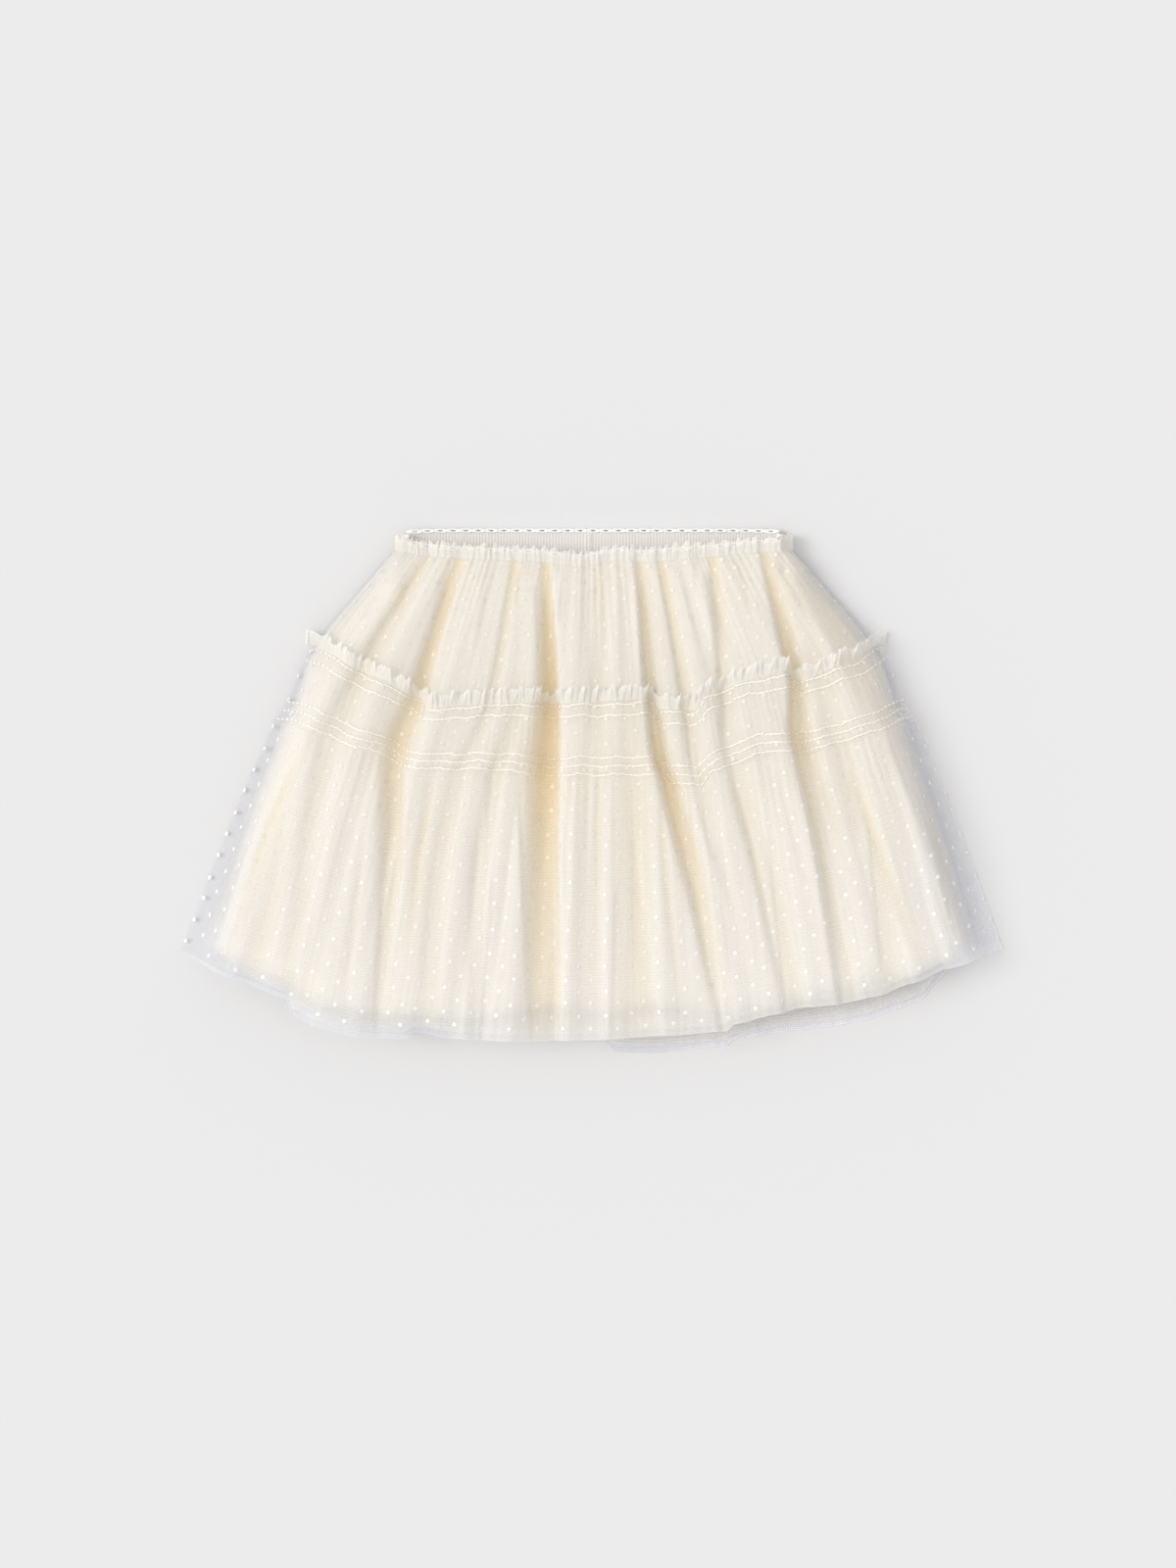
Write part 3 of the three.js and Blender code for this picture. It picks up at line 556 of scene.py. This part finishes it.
def liningMaterial():
    material, tree, shader = newMaterial("creamLining", liningCloth["crown"], liningCloth["roughness"],
                                         liningCloth["sheen"])
    tree.links.new(tonesOf(tree, liningCloth), shader.inputs["Base Color"])
    tree.links.new(attributeOf(tree, "bunching"), shader.inputs["Alpha"])
    weave = addTexture(tree, "ShaderNodeTexVoronoi", clothCoordinates(tree, *liningCloth["weave"]),
                       voronoi_dimensions="2D", feature="F1")
    weave.inputs["Randomness"].default_value = liningCloth["weaveUnevenness"]
    softCreases = streaksOf(tree, *liningCloth["creases"], liningCloth["creaseDetail"])
    creased = combine(tree, "ADD", weave.outputs["Distance"], softCreases)
    addBump(tree, shader, creased, *liningCloth["bump"])
    return material


# Elastic: short soft ribs, with painted shade darkening the grooves
elasticCloth = {"grooveShade": (0.75, 0.71, 0.68), "rib": (0.86, 0.825, 0.79), "roughness": 0.85, "sheen": 0.2,
                "ribs": (700, 1300), "bump": (0.4, 0.0003)}


def elasticMaterial():
    material, tree, shader = newMaterial("ribbedElastic", elasticCloth["grooveShade"], elasticCloth["roughness"],
                                         elasticCloth["sheen"])
    ribs = streaksOf(tree, *elasticCloth["ribs"])
    tones = addNode(tree, "ShaderNodeValToRGB")
    tones.color_ramp.elements[0].color = (*elasticCloth["grooveShade"], 1)
    tones.color_ramp.elements[1].color = (*elasticCloth["rib"], 1)
    tree.links.new(ribs, tones.inputs["Fac"])
    tree.links.new(tones.outputs["Color"], shader.inputs["Base Color"])
    addBump(tree, shader, ribs, *elasticCloth["bump"])
    return material


# Sewing thread and the flock of the dots
# Their valley colours are painted shade, and their shaded colours are painted paler as painted light, as on
# the net
threadTones = {
    "sewingThread": {"valley": (0.90, 0.80, 0.62), "crown": (0.975, 0.945, 0.895),
                     "alone": (0.95, 0.94, 0.93), "shaded": (0.975, 0.96, 0.945)},
    "flockDot": {"valley": (0.88, 0.77, 0.57), "crown": (0.81, 0.77, 0.69),
                 "alone": (0.905, 0.885, 0.855), "shaded": (0.945, 0.93, 0.90)},
}
fibre = {"roughness": 0.7, "sheen": 0.2, "specular": 0.15, "fineness": 2600, "bump": (0.35, 0.0002)}


def threadMaterial(name):
    colours = threadTones[name]
    material, tree, shader = newMaterial(name, colours["crown"], fibre["roughness"], fibre["sheen"],
                                         fibre["specular"])
    tree.links.new(tonesOf(tree, colours), shader.inputs["Base Color"])
    place = addNode(tree, "ShaderNodeTexCoord").outputs["Object"]
    fibres = addTexture(tree, "ShaderNodeTexNoise", place, fibre["fineness"])
    addBump(tree, shader, fibres.outputs["Fac"], *fibre["bump"])
    return material


dottedNet = netMaterial("dottedNet")
plainNet = netMaterial("plainNet")
frillNet = netMaterial("frillNet")
creamLining = liningMaterial()
ribbedElastic = elasticMaterial()
sewingThread = threadMaterial("sewingThread")
flockDot = threadMaterial("flockDot")
print("materials ready")


# A sheet from a grid: place(across, down) takes -1..1 and 0..1 and gives x, y, z, u, v in mm, then the tone
# and how closely the cloth is bunched
def gridSheet(name, grid, place, facing, closed):
    selectNothing()
    bpy.ops.mesh.primitive_grid_add(x_subdivisions=grid[0], y_subdivisions=grid[1], size=2, location=(0, 0, 0))
    sheet = bpy.context.object
    sheet.name = sheet.data.name = name
    mesh = sheet.data
    co = np.empty(len(mesh.vertices) * 3)
    mesh.vertices.foreach_get("co", co)
    co = co.reshape(-1, 3)
    x, y, z, u, v, tone, bunching = place(facing * co[:, 0], (1 - co[:, 1]) / 2)
    mesh.vertices.foreach_set("co", (np.stack((x, y, z), 1) * mm).ravel())
    corners = np.empty(len(mesh.loops), int)
    mesh.loops.foreach_get("vertex_index", corners)
    uvLayer = mesh.uv_layers[0]
    uvLayer.name = "cloth"
    uvLayer.data.foreach_set("uv", (np.stack((u, v), 1)[corners] * mm).ravel())
    for key, values in (("tone", tone), ("bunching", bunching)):
        layer = mesh.attributes.new(key, "FLOAT", "POINT")
        layer.data.foreach_set("value", np.broadcast_to(values, x.shape).astype(np.float32))
    mesh.update()
    if closed:
        bpy.ops.object.mode_set(mode="EDIT")
        bpy.ops.mesh.select_all(action="SELECT")
        bpy.ops.mesh.remove_doubles(threshold=0.02 * mm)
        bpy.ops.object.mode_set(mode="OBJECT")
    return sheet


# One whole sheet, attached to the root, with the solid that it replaces hidden
def makeSheet(name, grid, place, thickness, material, flat, node, facing=1, closed=False):
    sheet = gridSheet(name, grid, place, facing, closed)
    selectNothing()
    sheet.select_set(True)
    bpy.context.view_layer.objects.active = sheet
    bpy.ops.object.modifier_add(type="SOLIDIFY")
    shell = sheet.modifiers[-1]
    shell.thickness = thickness * mm
    shell.offset = -1
    bpy.ops.object.modifier_apply(modifier=shell.name)
    bpy.ops.object.shade_smooth_by_angle(angle=radians(60))
    sheet.data.materials.append(material)
    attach(sheet, "root")
    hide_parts(node)
    oneSide = sum(face.area for face in sheet.data.polygons) / 2
    share = round(oneSide / (flat[0] * flat[1] * mm * mm), 2)
    print("made", name, len(sheet.data.polygons), "faces,", share, "of its flat area")


# Outer tulle, front and back: columns and rows, levels from and to, and the cloth's flat size
outerTulle = {
    "thickness": 0.3,
    "fullness": 0.58,  # share of the net's full cover
    "upper": {"grid": (320, 60), "levels": (0.003, 0.995), "flatHalf": 225, "flatTall": 92},
    "band": {"grid": (360, 42), "levels": (0.997, 1.997), "flatHalf": 300, "flatTall": 47},
    "lower": {"grid": (400, 84), "levels": (2.0, 3.0), "flatHalf": 300, "flatTall": 162},
    "loneHem": (1, 0.3),  # how far the hem looks like net that hangs alone, at the left and at the right
    "back": {"upper": (200, 40), "band": (220, 18), "lower": (260, 46), "flatShare": 0.72, "loneHem": (1, 1),
             "leftCover": 0.8, "hemCover": 0.95, "hemCoverFrom": 2.6},
}

# How the folds colour the net with painted warm shade, and how thin it looks where it hangs alone
netLook = {
    "foldTall": 9,  # how far below its crown a fold counts as a full dip
    "dipShade": 0.15, "creaseShade": 0.22, "valleyCover": 0.45,
    "sideReach": [0.02, 0.03, 0.07, 0.12],  # share of the half width at the levels 0 to 3
    "hemFrom": 2.88, "thinnedFrom": 2.86, "thinnedHem": 0.5,
    "thinnedSide": (0.8, 0.96),  # at the left and at the right
}


# 1 on a crown, falling to 0 where the most painted warm shade lies, in valleys, fold dips and creases
def crownOf(x, level, fold):
    paintedShade = 0
    for valley in valleys:
        warmShade = through(valleyLevels, valley["warmShade"], level) * valleyShape(valley, x, level)
        paintedShade = np.maximum(paintedShade, warmShade)
    share = (x - middleAt(level)) / halfAt(level)
    dip = np.clip((through(plan["level"], plan["crown"], level) - fold) / netLook["foldTall"], -0.3, 0.6)
    creased = np.clip(-fineLift(share, level, fold), -0.5, 1.5)
    return np.clip(1 - paintedShade - netLook["dipShade"] * dip - netLook["creaseShade"] * creased, 0, 1)


# How far the net stands beyond the lining at the sides
def aloneness(share, level):
    return 1 - ease((1 - np.abs(share)) / through([0, 1, 2, 3], netLook["sideReach"], level))


def toneAndBunching(crown, share, level, loneHem=(0, 0)):
    alone = aloneness(share, level)
    left, right = loneHem
    hem = through([-1, -0.45, -0.3, 1], [left, left, right, right], share)
    # The right side lies in shade from the sun, so net hanging alone there is painted in the paler shaded
    # colour: painted light
    toRight = ease(3 * share)
    liftedSideTone = mix(toneOf["alone"], toneOf["shaded"], toRight)
    tone = mix(toneOf["crown"] * crown, liftedSideTone,
               np.maximum(alone, hem * ease((level - netLook["hemFrom"]) / 0.1)))
    thinnedHem = netLook["thinnedHem"] * hem * ease((level - netLook["thinnedFrom"]) / 0.08)
    thinned = np.maximum(mix(*netLook["thinnedSide"], toRight) * alone, thinnedHem)
    return tone, mix(netLook["valleyCover"], 1, crown) * (1 - thinned)


def outerFront(part):
    size = outerTulle[part]
    start, end = size["levels"]

    def place(across, down):
        level = mix(start, end, down)
        x, y, z, fold = frontPoint(frontLayers["outer"], across, level)
        tone, bunching = toneAndBunching(crownOf(x, level, fold), across, level, outerTulle["loneHem"])
        bunching = outerTulle["fullness"] * bunching
        return x, y, z, across * size["flatHalf"], -down * size["flatTall"], tone, bunching
    return place


def outerBack(part):
    size, back = outerTulle[part], outerTulle["back"]
    start, end = size["levels"]

    def place(across, down):
        level = mix(start, end, down)
        x, y, z = backPoint(backLayers["outer"], across, level)
        tone, bunching = toneAndBunching(1, across, level, back["loneHem"])
        toRight = ease(3 * across)
        bunching = outerTulle["fullness"] * mix(back["leftCover"] * bunching, 1, toRight)
        nearHem = toRight * ease((level - back["hemCoverFrom"]) / 0.2)
        bunching = mix(bunching, back["hemCover"], nearHem)
        return x, y, z, across * size["flatHalf"], -down * size["flatTall"], tone, bunching
    return place


def buildOuterTulle():
    names = {"upper": "upper_tier", "band": "shirred_band", "lower": "lower_tier"}
    for part, name in names.items():
        size, back = outerTulle[part], outerTulle["back"]
        flat = (2 * size["flatHalf"], size["flatTall"])
        makeSheet(name + "_front_net", size["grid"], outerFront(part), outerTulle["thickness"], dottedNet,
                  flat, name + "_front")
        flat = (flat[0] * back["flatShare"], flat[1])
        makeSheet(name + "_back_net", back[part], outerBack(part), outerTulle["thickness"], dottedNet,
                  flat, name + "_back", facing=-1)


# Underskirt and lining: columns and rows of each side, thickness and flat sizes in mm
innerLayers = {
    "under": {"name": "underskirt", "front": (260, 72), "back": (150, 36), "thickness": 0.25,
              "flat": (540, 290), "backFlat": (470, 290)},
    "lining": {"name": "lining", "front": (200, 66), "back": (120, 32), "thickness": 0.4,
               "flat": (430, 262), "backFlat": (420, 262)},
}
innerStart = {"front": 0.02, "back": 0.15}  # the level that the inner layers start at
liningLook = {"paler": 0.14, "palerFrom": 1.8, "sideTone": 0.92, "sideShare": 0.8, "sideFrom": 0.7,
              "edgeFade": 0.06}


# The lining is paler towards its hem and sides, and its edges fade out behind the net
def liningTone(tone, crown, across, level):
    pale = toneOf["crown"] + liningLook["paler"] * ease(level - liningLook["palerFrom"])
    tone = np.maximum(tone, pale * crown)
    nearSide = ease((np.abs(across) - liningLook["sideFrom"]) / 0.3) * ease(level - 1)
    alpha = ease((1 - np.abs(across)) / liningLook["edgeFade"]) * ease((3 - level) / liningLook["edgeFade"])
    return mix(tone, liningLook["sideTone"], liningLook["sideShare"] * nearSide), alpha


def innerPlace(key, side):
    flat = innerLayers[key]["flat"]

    def place(across, down):
        level = mix(innerStart[side], 3.0, down)
        if side == "front":
            x, y, z, fold = frontPoint(frontLayers[key], across, level)
            crown = crownOf(x, level, fold)
        else:
            x, y, z = backPoint(backLayers[key], across, level)
            crown = 1
        tone, bunching = toneAndBunching(crown, across, level)
        if key == "lining":
            tone, bunching = liningTone(tone, crown, across, level)
        return x, y, z, across * flat[0] / 2, -down * flat[1], tone, bunching
    return place


def buildInnerLayers():
    for key, size in innerLayers.items():
        name = size["name"]
        material = plainNet if key == "under" else creamLining
        makeSheet(name + "_front_cloth", size["front"], innerPlace(key, "front"), size["thickness"], material,
                  size["flat"], name + "_front")
        makeSheet(name + "_back_cloth", size["back"], innerPlace(key, "back"), size["thickness"], material,
                  size["backFlat"], name + "_back", facing=-1)


# Tier frill: the heading of the lower tier, standing over the upper tier in ruffles
tierFrill = {
    "standing": 8.5, "ruffles": 34, "uneven": 0.7, "depth": 1.5, "lift": 2.9,
    "valleyLift": 4,  # more lift where it crosses a valley
    "sway": (1.8, 1.1),  # of the edge in X, from the broad ruffles and the small ones
    "curl": (0.9, 0.9),  # of the edge in Y, from the small ruffles and the tiny ones
    "crumple": (0.9, 0.7),  # up and down, from the same
    "tail": 5,  # how far it reaches past the side seams
    "grid": (900, 7), "thickness": 0.25, "flat": (600, 10.2),
    "tone": {"valley": 0.55, "crown": 0.15, "edge": 0.12},
    "back": {"inset": 24, "above": 0.4, "uneven": 0.8, "curl": 0.5, "sway": 0.8, "depth": 0.3, "cover": 0.9,
             "grid": (420, 4), "flat": (340, 10.5)},
}


# The ruffles' sway, the same a quarter turn on, and two sets of smaller curls
def frillWaves(share, ruffles):
    phase = pi * ruffles * share + 2.1 * np.sin(6 * share) + 1.3 * np.sin(17 * share + 1)
    uneven = 0.75 + 0.45 * np.sin(11 * share + 2)
    broad, turned = uneven * np.sin(phase), np.cos(phase)
    small = np.sin(pi * ruffles * 2.3 * share + 2.2 * np.sin(13 * share) + 1)
    tiny = np.sin(pi * ruffles * 3.9 * share + 1.7 * np.sin(29 * share))
    return broad, turned, small, tiny


def tierFrillFront(across, down):
    up = 1 - down
    wide = across * (1 + (tierFrill["tail"] / tierHalf) * ease((np.abs(across) - 0.9) * 10))
    x, _, z, fold = frontPoint(frontLayers["outer"], np.clip(wide, -1, 1), 1 - 0.1 * up)
    broad, turned, small, tiny = frillWaves(across, tierFrill["ruffles"])
    crown = crownOf(x, np.ones_like(x), fold)
    sway, curl, crumple, tones = (tierFrill[key] for key in ("sway", "curl", "crumple", "tone"))
    x = middleAt(np.ones_like(across)) + wide * tierHalf + up * (sway[0] * turned + sway[1] * small)
    tall = (tierFrill["standing"] + tierFrill["uneven"] * broad) * mix(0.7, 1, ease(crown * 1.6))
    y = lineAt("tier", wide) - 0.5 + up * tall + up ** 2 * (curl[0] * small + curl[1] * tiny)
    lifted = tierFrill["lift"] + tierFrill["valleyLift"] * (1 - crown)
    z = z + 0.25 + lifted * ease(up * 0.9) + up * tierFrill["depth"] * broad
    z = z + up * (crumple[0] * small + crumple[1] * tiny)
    # Painted warm shade where the frill crosses a valley, and whiter towards its top edge
    tone = tones["valley"] + tones["crown"] * crown + tones["edge"] * up
    return x, y, z, across * tierFrill["flat"][0] / 2, up * tierFrill["flat"][1], tone, 1.0


def tierFrillBack(across, down):
    up, back = 1 - down, tierFrill["back"]
    within = across * (1 - back["inset"] / tierHalf)
    broad, turned, small, _ = frillWaves(across, tierFrill["ruffles"])
    tall = tierFrill["standing"] + back["uneven"] * broad
    y = lineAt("backTier", within) + back["above"] + up * tall + up ** 2 * back["curl"] * small
    z = backLayers["outer"]["floor"] + back["depth"] * (1 + turned) * up
    x = middleAt(np.ones_like(across)) + within * tierHalf + up * back["sway"] * turned
    u, v = across * tierFrill["flat"][0] / 2, up * tierFrill["flat"][1]
    return x, y, z, u, v, toneOf["crown"], back["cover"]


def buildTierFrills():
    back = tierFrill["back"]
    makeSheet("tier_frill_front_net", tierFrill["grid"], tierFrillFront, tierFrill["thickness"], frillNet,
              tierFrill["flat"], "tier_frill_front")
    makeSheet("tier_frill_back_net", back["grid"], tierFrillBack, tierFrill["thickness"], frillNet,
              back["flat"], "tier_frill_back", facing=-1)


# A ring pressed flat, seen along the skirt: x, z, the direction out, and 0 on the back to 1 on the front
def flatRing(angle, size):
    squareness = waistElastic["squareness"]
    c, s = np.cos(angle), np.sin(angle)
    s = np.sign(s) * (1 - np.abs(c) ** squareness) ** (1 / squareness)
    middle, halfHeight = (size["low"] + size["high"]) / 2, (size["high"] - size["low"]) / 2
    outX = np.sign(c) * np.abs(c) ** (squareness - 1) / size["halfWidth"]
    outZ = np.sign(s) * np.abs(s) ** (squareness - 1) / halfHeight
    length = np.hypot(outX, outZ)
    x = middleAt(np.zeros_like(angle)) + size["halfWidth"] * c
    return x, middle + halfHeight * s, outX / length, outZ / length, np.clip((s + 1) / 2, 0, 1)


# The angle at an even share of the length round the ring
def ringAngle(across, size):
    angles = np.linspace(0, 2 * pi, 4001)
    x, z = flatRing(angles, size)[:2]
    lengths = np.concatenate(([0], np.cumsum(np.hypot(np.diff(x), np.diff(z)))))
    return np.interp((across + 1) / 2, lengths / lengths[-1], angles)


def elasticPoint(across, down):
    x, z, outX, outZ, front = flatRing(ringAngle(across, waistElastic), waistElastic)
    share = (x - waistMiddle) / waistHalf
    top = mix(waistElastic["backTop"], lineAt("waist", share) + waistElastic["frontTop"], ease(front))
    ribs = waistElastic["ribDepth"] * np.cos(pi * waistElastic["ribs"] * across)
    lap = waistElastic["lap"]
    lapped = lap["depth"] * np.exp(-((x - lap["at"]) / lap["halfWide"]) ** 4) * (front < 0.5)
    y = top - down * waistElastic["width"]
    x, z = x - outX * (ribs + lapped), z - outZ * (ribs + lapped)
    return x, y, z, across * waistElastic["flat"][0] / 2, -down * waistElastic["width"], toneOf["crown"], 1


def waistFrillPoint(across, down):
    up = 1 - down
    x, z, outX, outZ, front = flatRing(ringAngle(across, waistFrill), waistFrill)
    angle = pi * (across + 1)
    share = (x - waistMiddle) / waistHalf
    seam = mix(lineAt("backWaist", share), lineAt("waist", share), ease(front)) - 1.2
    phase = waistFrill["ruffles"] * angle + 1.6 * np.sin(7 * angle)
    broad, turned = np.sin(phase), np.cos(phase)
    small = np.sin(waistFrill["ruffles"] * 1.7 * angle + 2.6 * np.sin(11 * angle))
    tiny = np.sin(waistFrill["ruffles"] * 3.1 * angle + 3.3 * np.sin(17 * angle))
    onFront = ease((front - 0.55) / 0.3)
    top = mix(waistFrill["backTop"], seam + waistFrill["standing"], ease(front))
    _, _, seamZ, _ = frontPoint(frontLayers["outer"], np.clip(share, -1, 1), np.zeros_like(share))
    curl, crumple = waistFrill["curl"], waistFrill["crumple"]
    ruffled = waistFrill["depth"] * (broad + 0.3) + crumple[0] * small + crumple[1] * tiny
    z = mix(z, seamZ + 0.4, onFront) + onFront * (waistFrill["lift"] * ease(up) + up * ruffled)
    x = x + up * waistFrill["sway"] * turned * onFront
    curled = curl[0] * broad + curl[1] * small + curl[2] * tiny
    y = mix(seam, top, up) + up ** 2 * curled * mix(0.3, 1, onFront)
    return x, y, z, across * waistFrill["flat"][0] / 2, up * waistFrill["flat"][1], waistFrill["tone"], 1.0


def buildWaist():
    grid = (4 * waistElastic["ribs"], waistElastic["rows"])
    makeSheet("waist_elastic_band", grid, elasticPoint, waistElastic["thickness"], ribbedElastic,
              waistElastic["flat"], "waist_elastic", facing=-1, closed=True)
    makeSheet("waist_frill_net", waistFrill["grid"], waistFrillPoint, waistFrill["thickness"], frillNet,
              waistFrill["flat"], "waist_frill", facing=-1,
              closed=True)


# Repeats one small modelled shape at many places, as one joined mesh
def scatter(name, pattern, points, across, normals, material, tones):
    shape = np.array([vertex.co[:] for vertex in pattern.data.vertices])
    faces = [list(face.vertices) for face in pattern.data.polygons]
    bpy.data.objects.remove(pattern)
    along = np.cross(normals, across)
    frames = np.stack((across, along, normals), 1)
    placed = points[:, None, :] + np.einsum("vk,nkc->nvc", shape, frames)
    starts = range(0, len(points) * len(shape), len(shape))
    allFaces = [[start + corner for corner in face] for start in starts for face in faces]
    mesh = bpy.data.meshes.new(name)
    mesh.from_pydata((placed.reshape(-1, 3) * mm).tolist(), [], allFaces)
    mesh.update()
    piece = bpy.data.objects.new(name, mesh)
    bpy.context.scene.collection.objects.link(piece)
    selectNothing()
    piece.select_set(True)
    bpy.context.view_layer.objects.active = piece
    bpy.ops.object.shade_smooth_by_angle(angle=radians(75))
    mesh.materials.append(material)
    layer = mesh.attributes.new("tone", "FLOAT", "POINT")
    layer.data.foreach_set("value", np.repeat(tones, len(shape)).astype(np.float32))
    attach(piece, "root")
    print("made", name, len(points), "copies")


def unit(vectors):
    return vectors / np.maximum(1e-9, np.linalg.norm(vectors, axis=1, keepdims=True))


# Points, directions across and normals of a surface at shares and levels
def surfaceFrames(point, layer, share, level, facing, sideStep=0.003, downStep=0.004):
    def at(shares, levels):
        return np.stack(point(layer, shares, levels)[:3], 1)

    across = unit(at(np.clip(share + sideStep, -1, 1), level) - at(np.clip(share - sideStep, -1, 1), level))
    down = unit(at(share, level + downStep) - at(share, level - downStep))
    normals = unit(np.cross(down, across)) * facing
    return at(share, level), across, normals


# The net's tone under each dot or stitch, which carries the painted valley shade and the paler shaded side
# onto them
def tonesAt(side, layer, shares, levels):
    if side == "back":
        return np.full(len(shares), toneOf["crown"])
    x, _, _, fold = frontPoint(layer, shares, levels)
    return toneAndBunching(crownOf(x, levels, fold), shares, levels)[0]


def roundedBead(width, length, height, segments, rings):
    selectNothing()
    bpy.ops.mesh.primitive_uv_sphere_add(segments=segments, ring_count=rings, radius=1, location=(0, 0, 0))
    bead = bpy.context.object
    bpy.ops.transform.resize(value=(length / 2, width / 2, height / 2))
    bpy.ops.object.transform_apply(location=False, rotation=False, scale=True)
    return bead


sides = (("front", frontPoint, frontLayers["outer"], 1), ("back", backPoint, backLayers["outer"], -1))

# Dots: a half-dropped repeat in the cloth's own flat sizes, and how clearly they show at the valleyLevels
dots = {
    "across": 10, "down": 15,
    "first": 4, "last": 1.5,  # from the top edge and the lower edge of each tier
    "within": 0.995,  # share of the half width
    "levels": (0.02, 2.985),
    "scatter": (0.0018, 0.004),  # of share and level
    "size": 2.8, "height": 0.2, "rise": 0.12, "segments": 8, "rings": 4,
    "clear": (0.0, 0.0, 0.1, 0.4, 0.7),
}


def dotPlaces(part):
    size = outerTulle[part]
    start, end = size["levels"]
    shares, levels = [], []
    columns = int(size["flatHalf"] / dots["across"])
    for i in range(-columns, columns + 1):
        drop = dots["down"] / 2 if i % 2 else 0
        y = dots["first"] + drop
        while y < size["flatTall"] - dots["last"]:
            shares.append(i * dots["across"] / size["flatHalf"] * dots["within"])
            levels.append(mix(start, end, y / size["flatTall"]))
            y += dots["down"]
    return np.array(shares), np.array(levels)


def buildDots():
    chance = np.random.default_rng(11)
    shareScatter, levelScatter = dots["scatter"]
    for side, point, layer, facing in sides:
        shares, levels = np.concatenate([dotPlaces(part) for part in ("upper", "band", "lower")], 1)
        shares = shares + chance.normal(0, shareScatter, shares.shape)
        levels = levels + chance.normal(0, levelScatter, levels.shape)
        shares = np.clip(shares, -dots["within"], dots["within"])
        levels = np.clip(levels, *dots["levels"])
        here, across, normals = surfaceFrames(point, layer, shares, levels, facing)
        bead = roundedBead(dots["size"], dots["size"], dots["height"], dots["segments"], dots["rings"])
        tones = tonesAt(side, layer, shares, levels)
        tones = mix(tones, 1, tones * through(valleyLevels, dots["clear"], levels))
        here = here + dots["rise"] * normals
        scatter("net_dots_" + side, bead, here, across, normals, flockDot, tones)


# Shirring: rows of short stitches across the band
shirring = {
    "pitch": 2.7, "length": 4.0, "thick": 1.15, "height": 0.6, "rise": 0.3, "segments": 6, "rings": 5,
    "within": 0.985,  # share of the half width
    "scatter": 0.004,
    "wander": ((0.014, 23, 0), (0.010, 57, 1)),  # how far, how often and from where each row strays
}


def stitchRow(level):
    count = int(2 * float(halfAt(level)) / shirring["pitch"])
    return np.linspace(-shirring["within"], shirring["within"], count), np.full(count, level)


def buildShirring():
    chance = np.random.default_rng(5)
    for side, point, layer, facing in sides:
        shares, levels = np.concatenate([stitchRow(level) for level in stitchLevels], 1)
        levels = levels + chance.normal(0, shirring["scatter"], len(shares))
        levels += sum(far * np.sin(often * shares + start) for far, often, start in shirring["wander"])
        smooth = {**layer, "fine": 0}  # the thread is taut, so it doesn't follow the small gathers
        here, across, normals = surfaceFrames(point, smooth, shares, levels, facing)
        stitch = roundedBead(shirring["thick"], shirring["length"], shirring["height"], shirring["segments"],
                             shirring["rings"])
        here = here + shirring["rise"] * normals
        scatter("shirring_stitches_" + side, stitch, here, across, normals, sewingThread,
                tonesAt(side, smooth, shares, levels))


# Picot loops on the elastic's top edge, and two rows of stitches at its centre back seam
picot = {"pitch": 7.8, "halfWide": 3.5, "tall": 0.9, "deep": 2.5, "above": 0.5, "inside": 0.8, "thread": 1.6,
         "major": 20, "minor": 6}
backSeam = {"rows": (-3.4, -0.6), "pitch": 2.2, "length": 1.9, "thick": 0.6, "rise": 0.55}


def buildElasticTrim():
    count = int(waistElastic["flat"][0] / picot["pitch"])
    across = np.linspace(-1, 1, count, endpoint=False)
    angle = ringAngle(across, waistElastic)
    _, _, outX, outZ, _ = flatRing(angle, waistElastic)
    points = np.stack(elasticPoint(across, np.zeros(count))[:3], 1)
    inside = picot["inside"]
    points += np.stack((-inside * outX, np.full(count, picot["above"]), -inside * outZ), 1)
    direction = unit(np.stack((outZ, np.zeros(count), -outX), 1))
    selectNothing()
    bpy.ops.mesh.primitive_torus_add(major_segments=picot["major"], minor_segments=picot["minor"],
                                     major_radius=1, minor_radius=picot["thread"] / picot["deep"],
                                     location=(0, 0, 0))
    loop = bpy.context.object
    bpy.ops.transform.resize(value=(picot["halfWide"], picot["tall"], picot["deep"]))
    bpy.ops.object.transform_apply(location=False, rotation=False, scale=True)
    upward = np.tile((0.0, 1.0, 0.0), (count, 1))
    scatter("waist_picot_edge", loop, points, direction, np.cross(direction, upward), sewingThread,
            np.ones(count))

    down = np.arange(backSeam["pitch"], waistElastic["width"] - 0.5, backSeam["pitch"])
    height = waistElastic["low"] + waistElastic["thickness"] + backSeam["rise"]
    points = np.array([(row, waistElastic["backTop"] - y, height) for row in backSeam["rows"] for y in down])
    stitch = roundedBead(backSeam["thick"], backSeam["length"], backSeam["thick"], shirring["segments"],
                         shirring["rings"])
    scatter("centre_back_stitches", stitch, points, np.tile((0.0, 1.0, 0.0), (len(points), 1)),
            np.tile((0.0, 0.0, 1.0), (len(points), 1)), sewingThread, np.ones(len(points)))


buildInnerLayers()
buildOuterTulle()
buildTierFrills()
buildWaist()
buildDots()
buildShirring()
buildElasticTrim()

print("skirt finished")
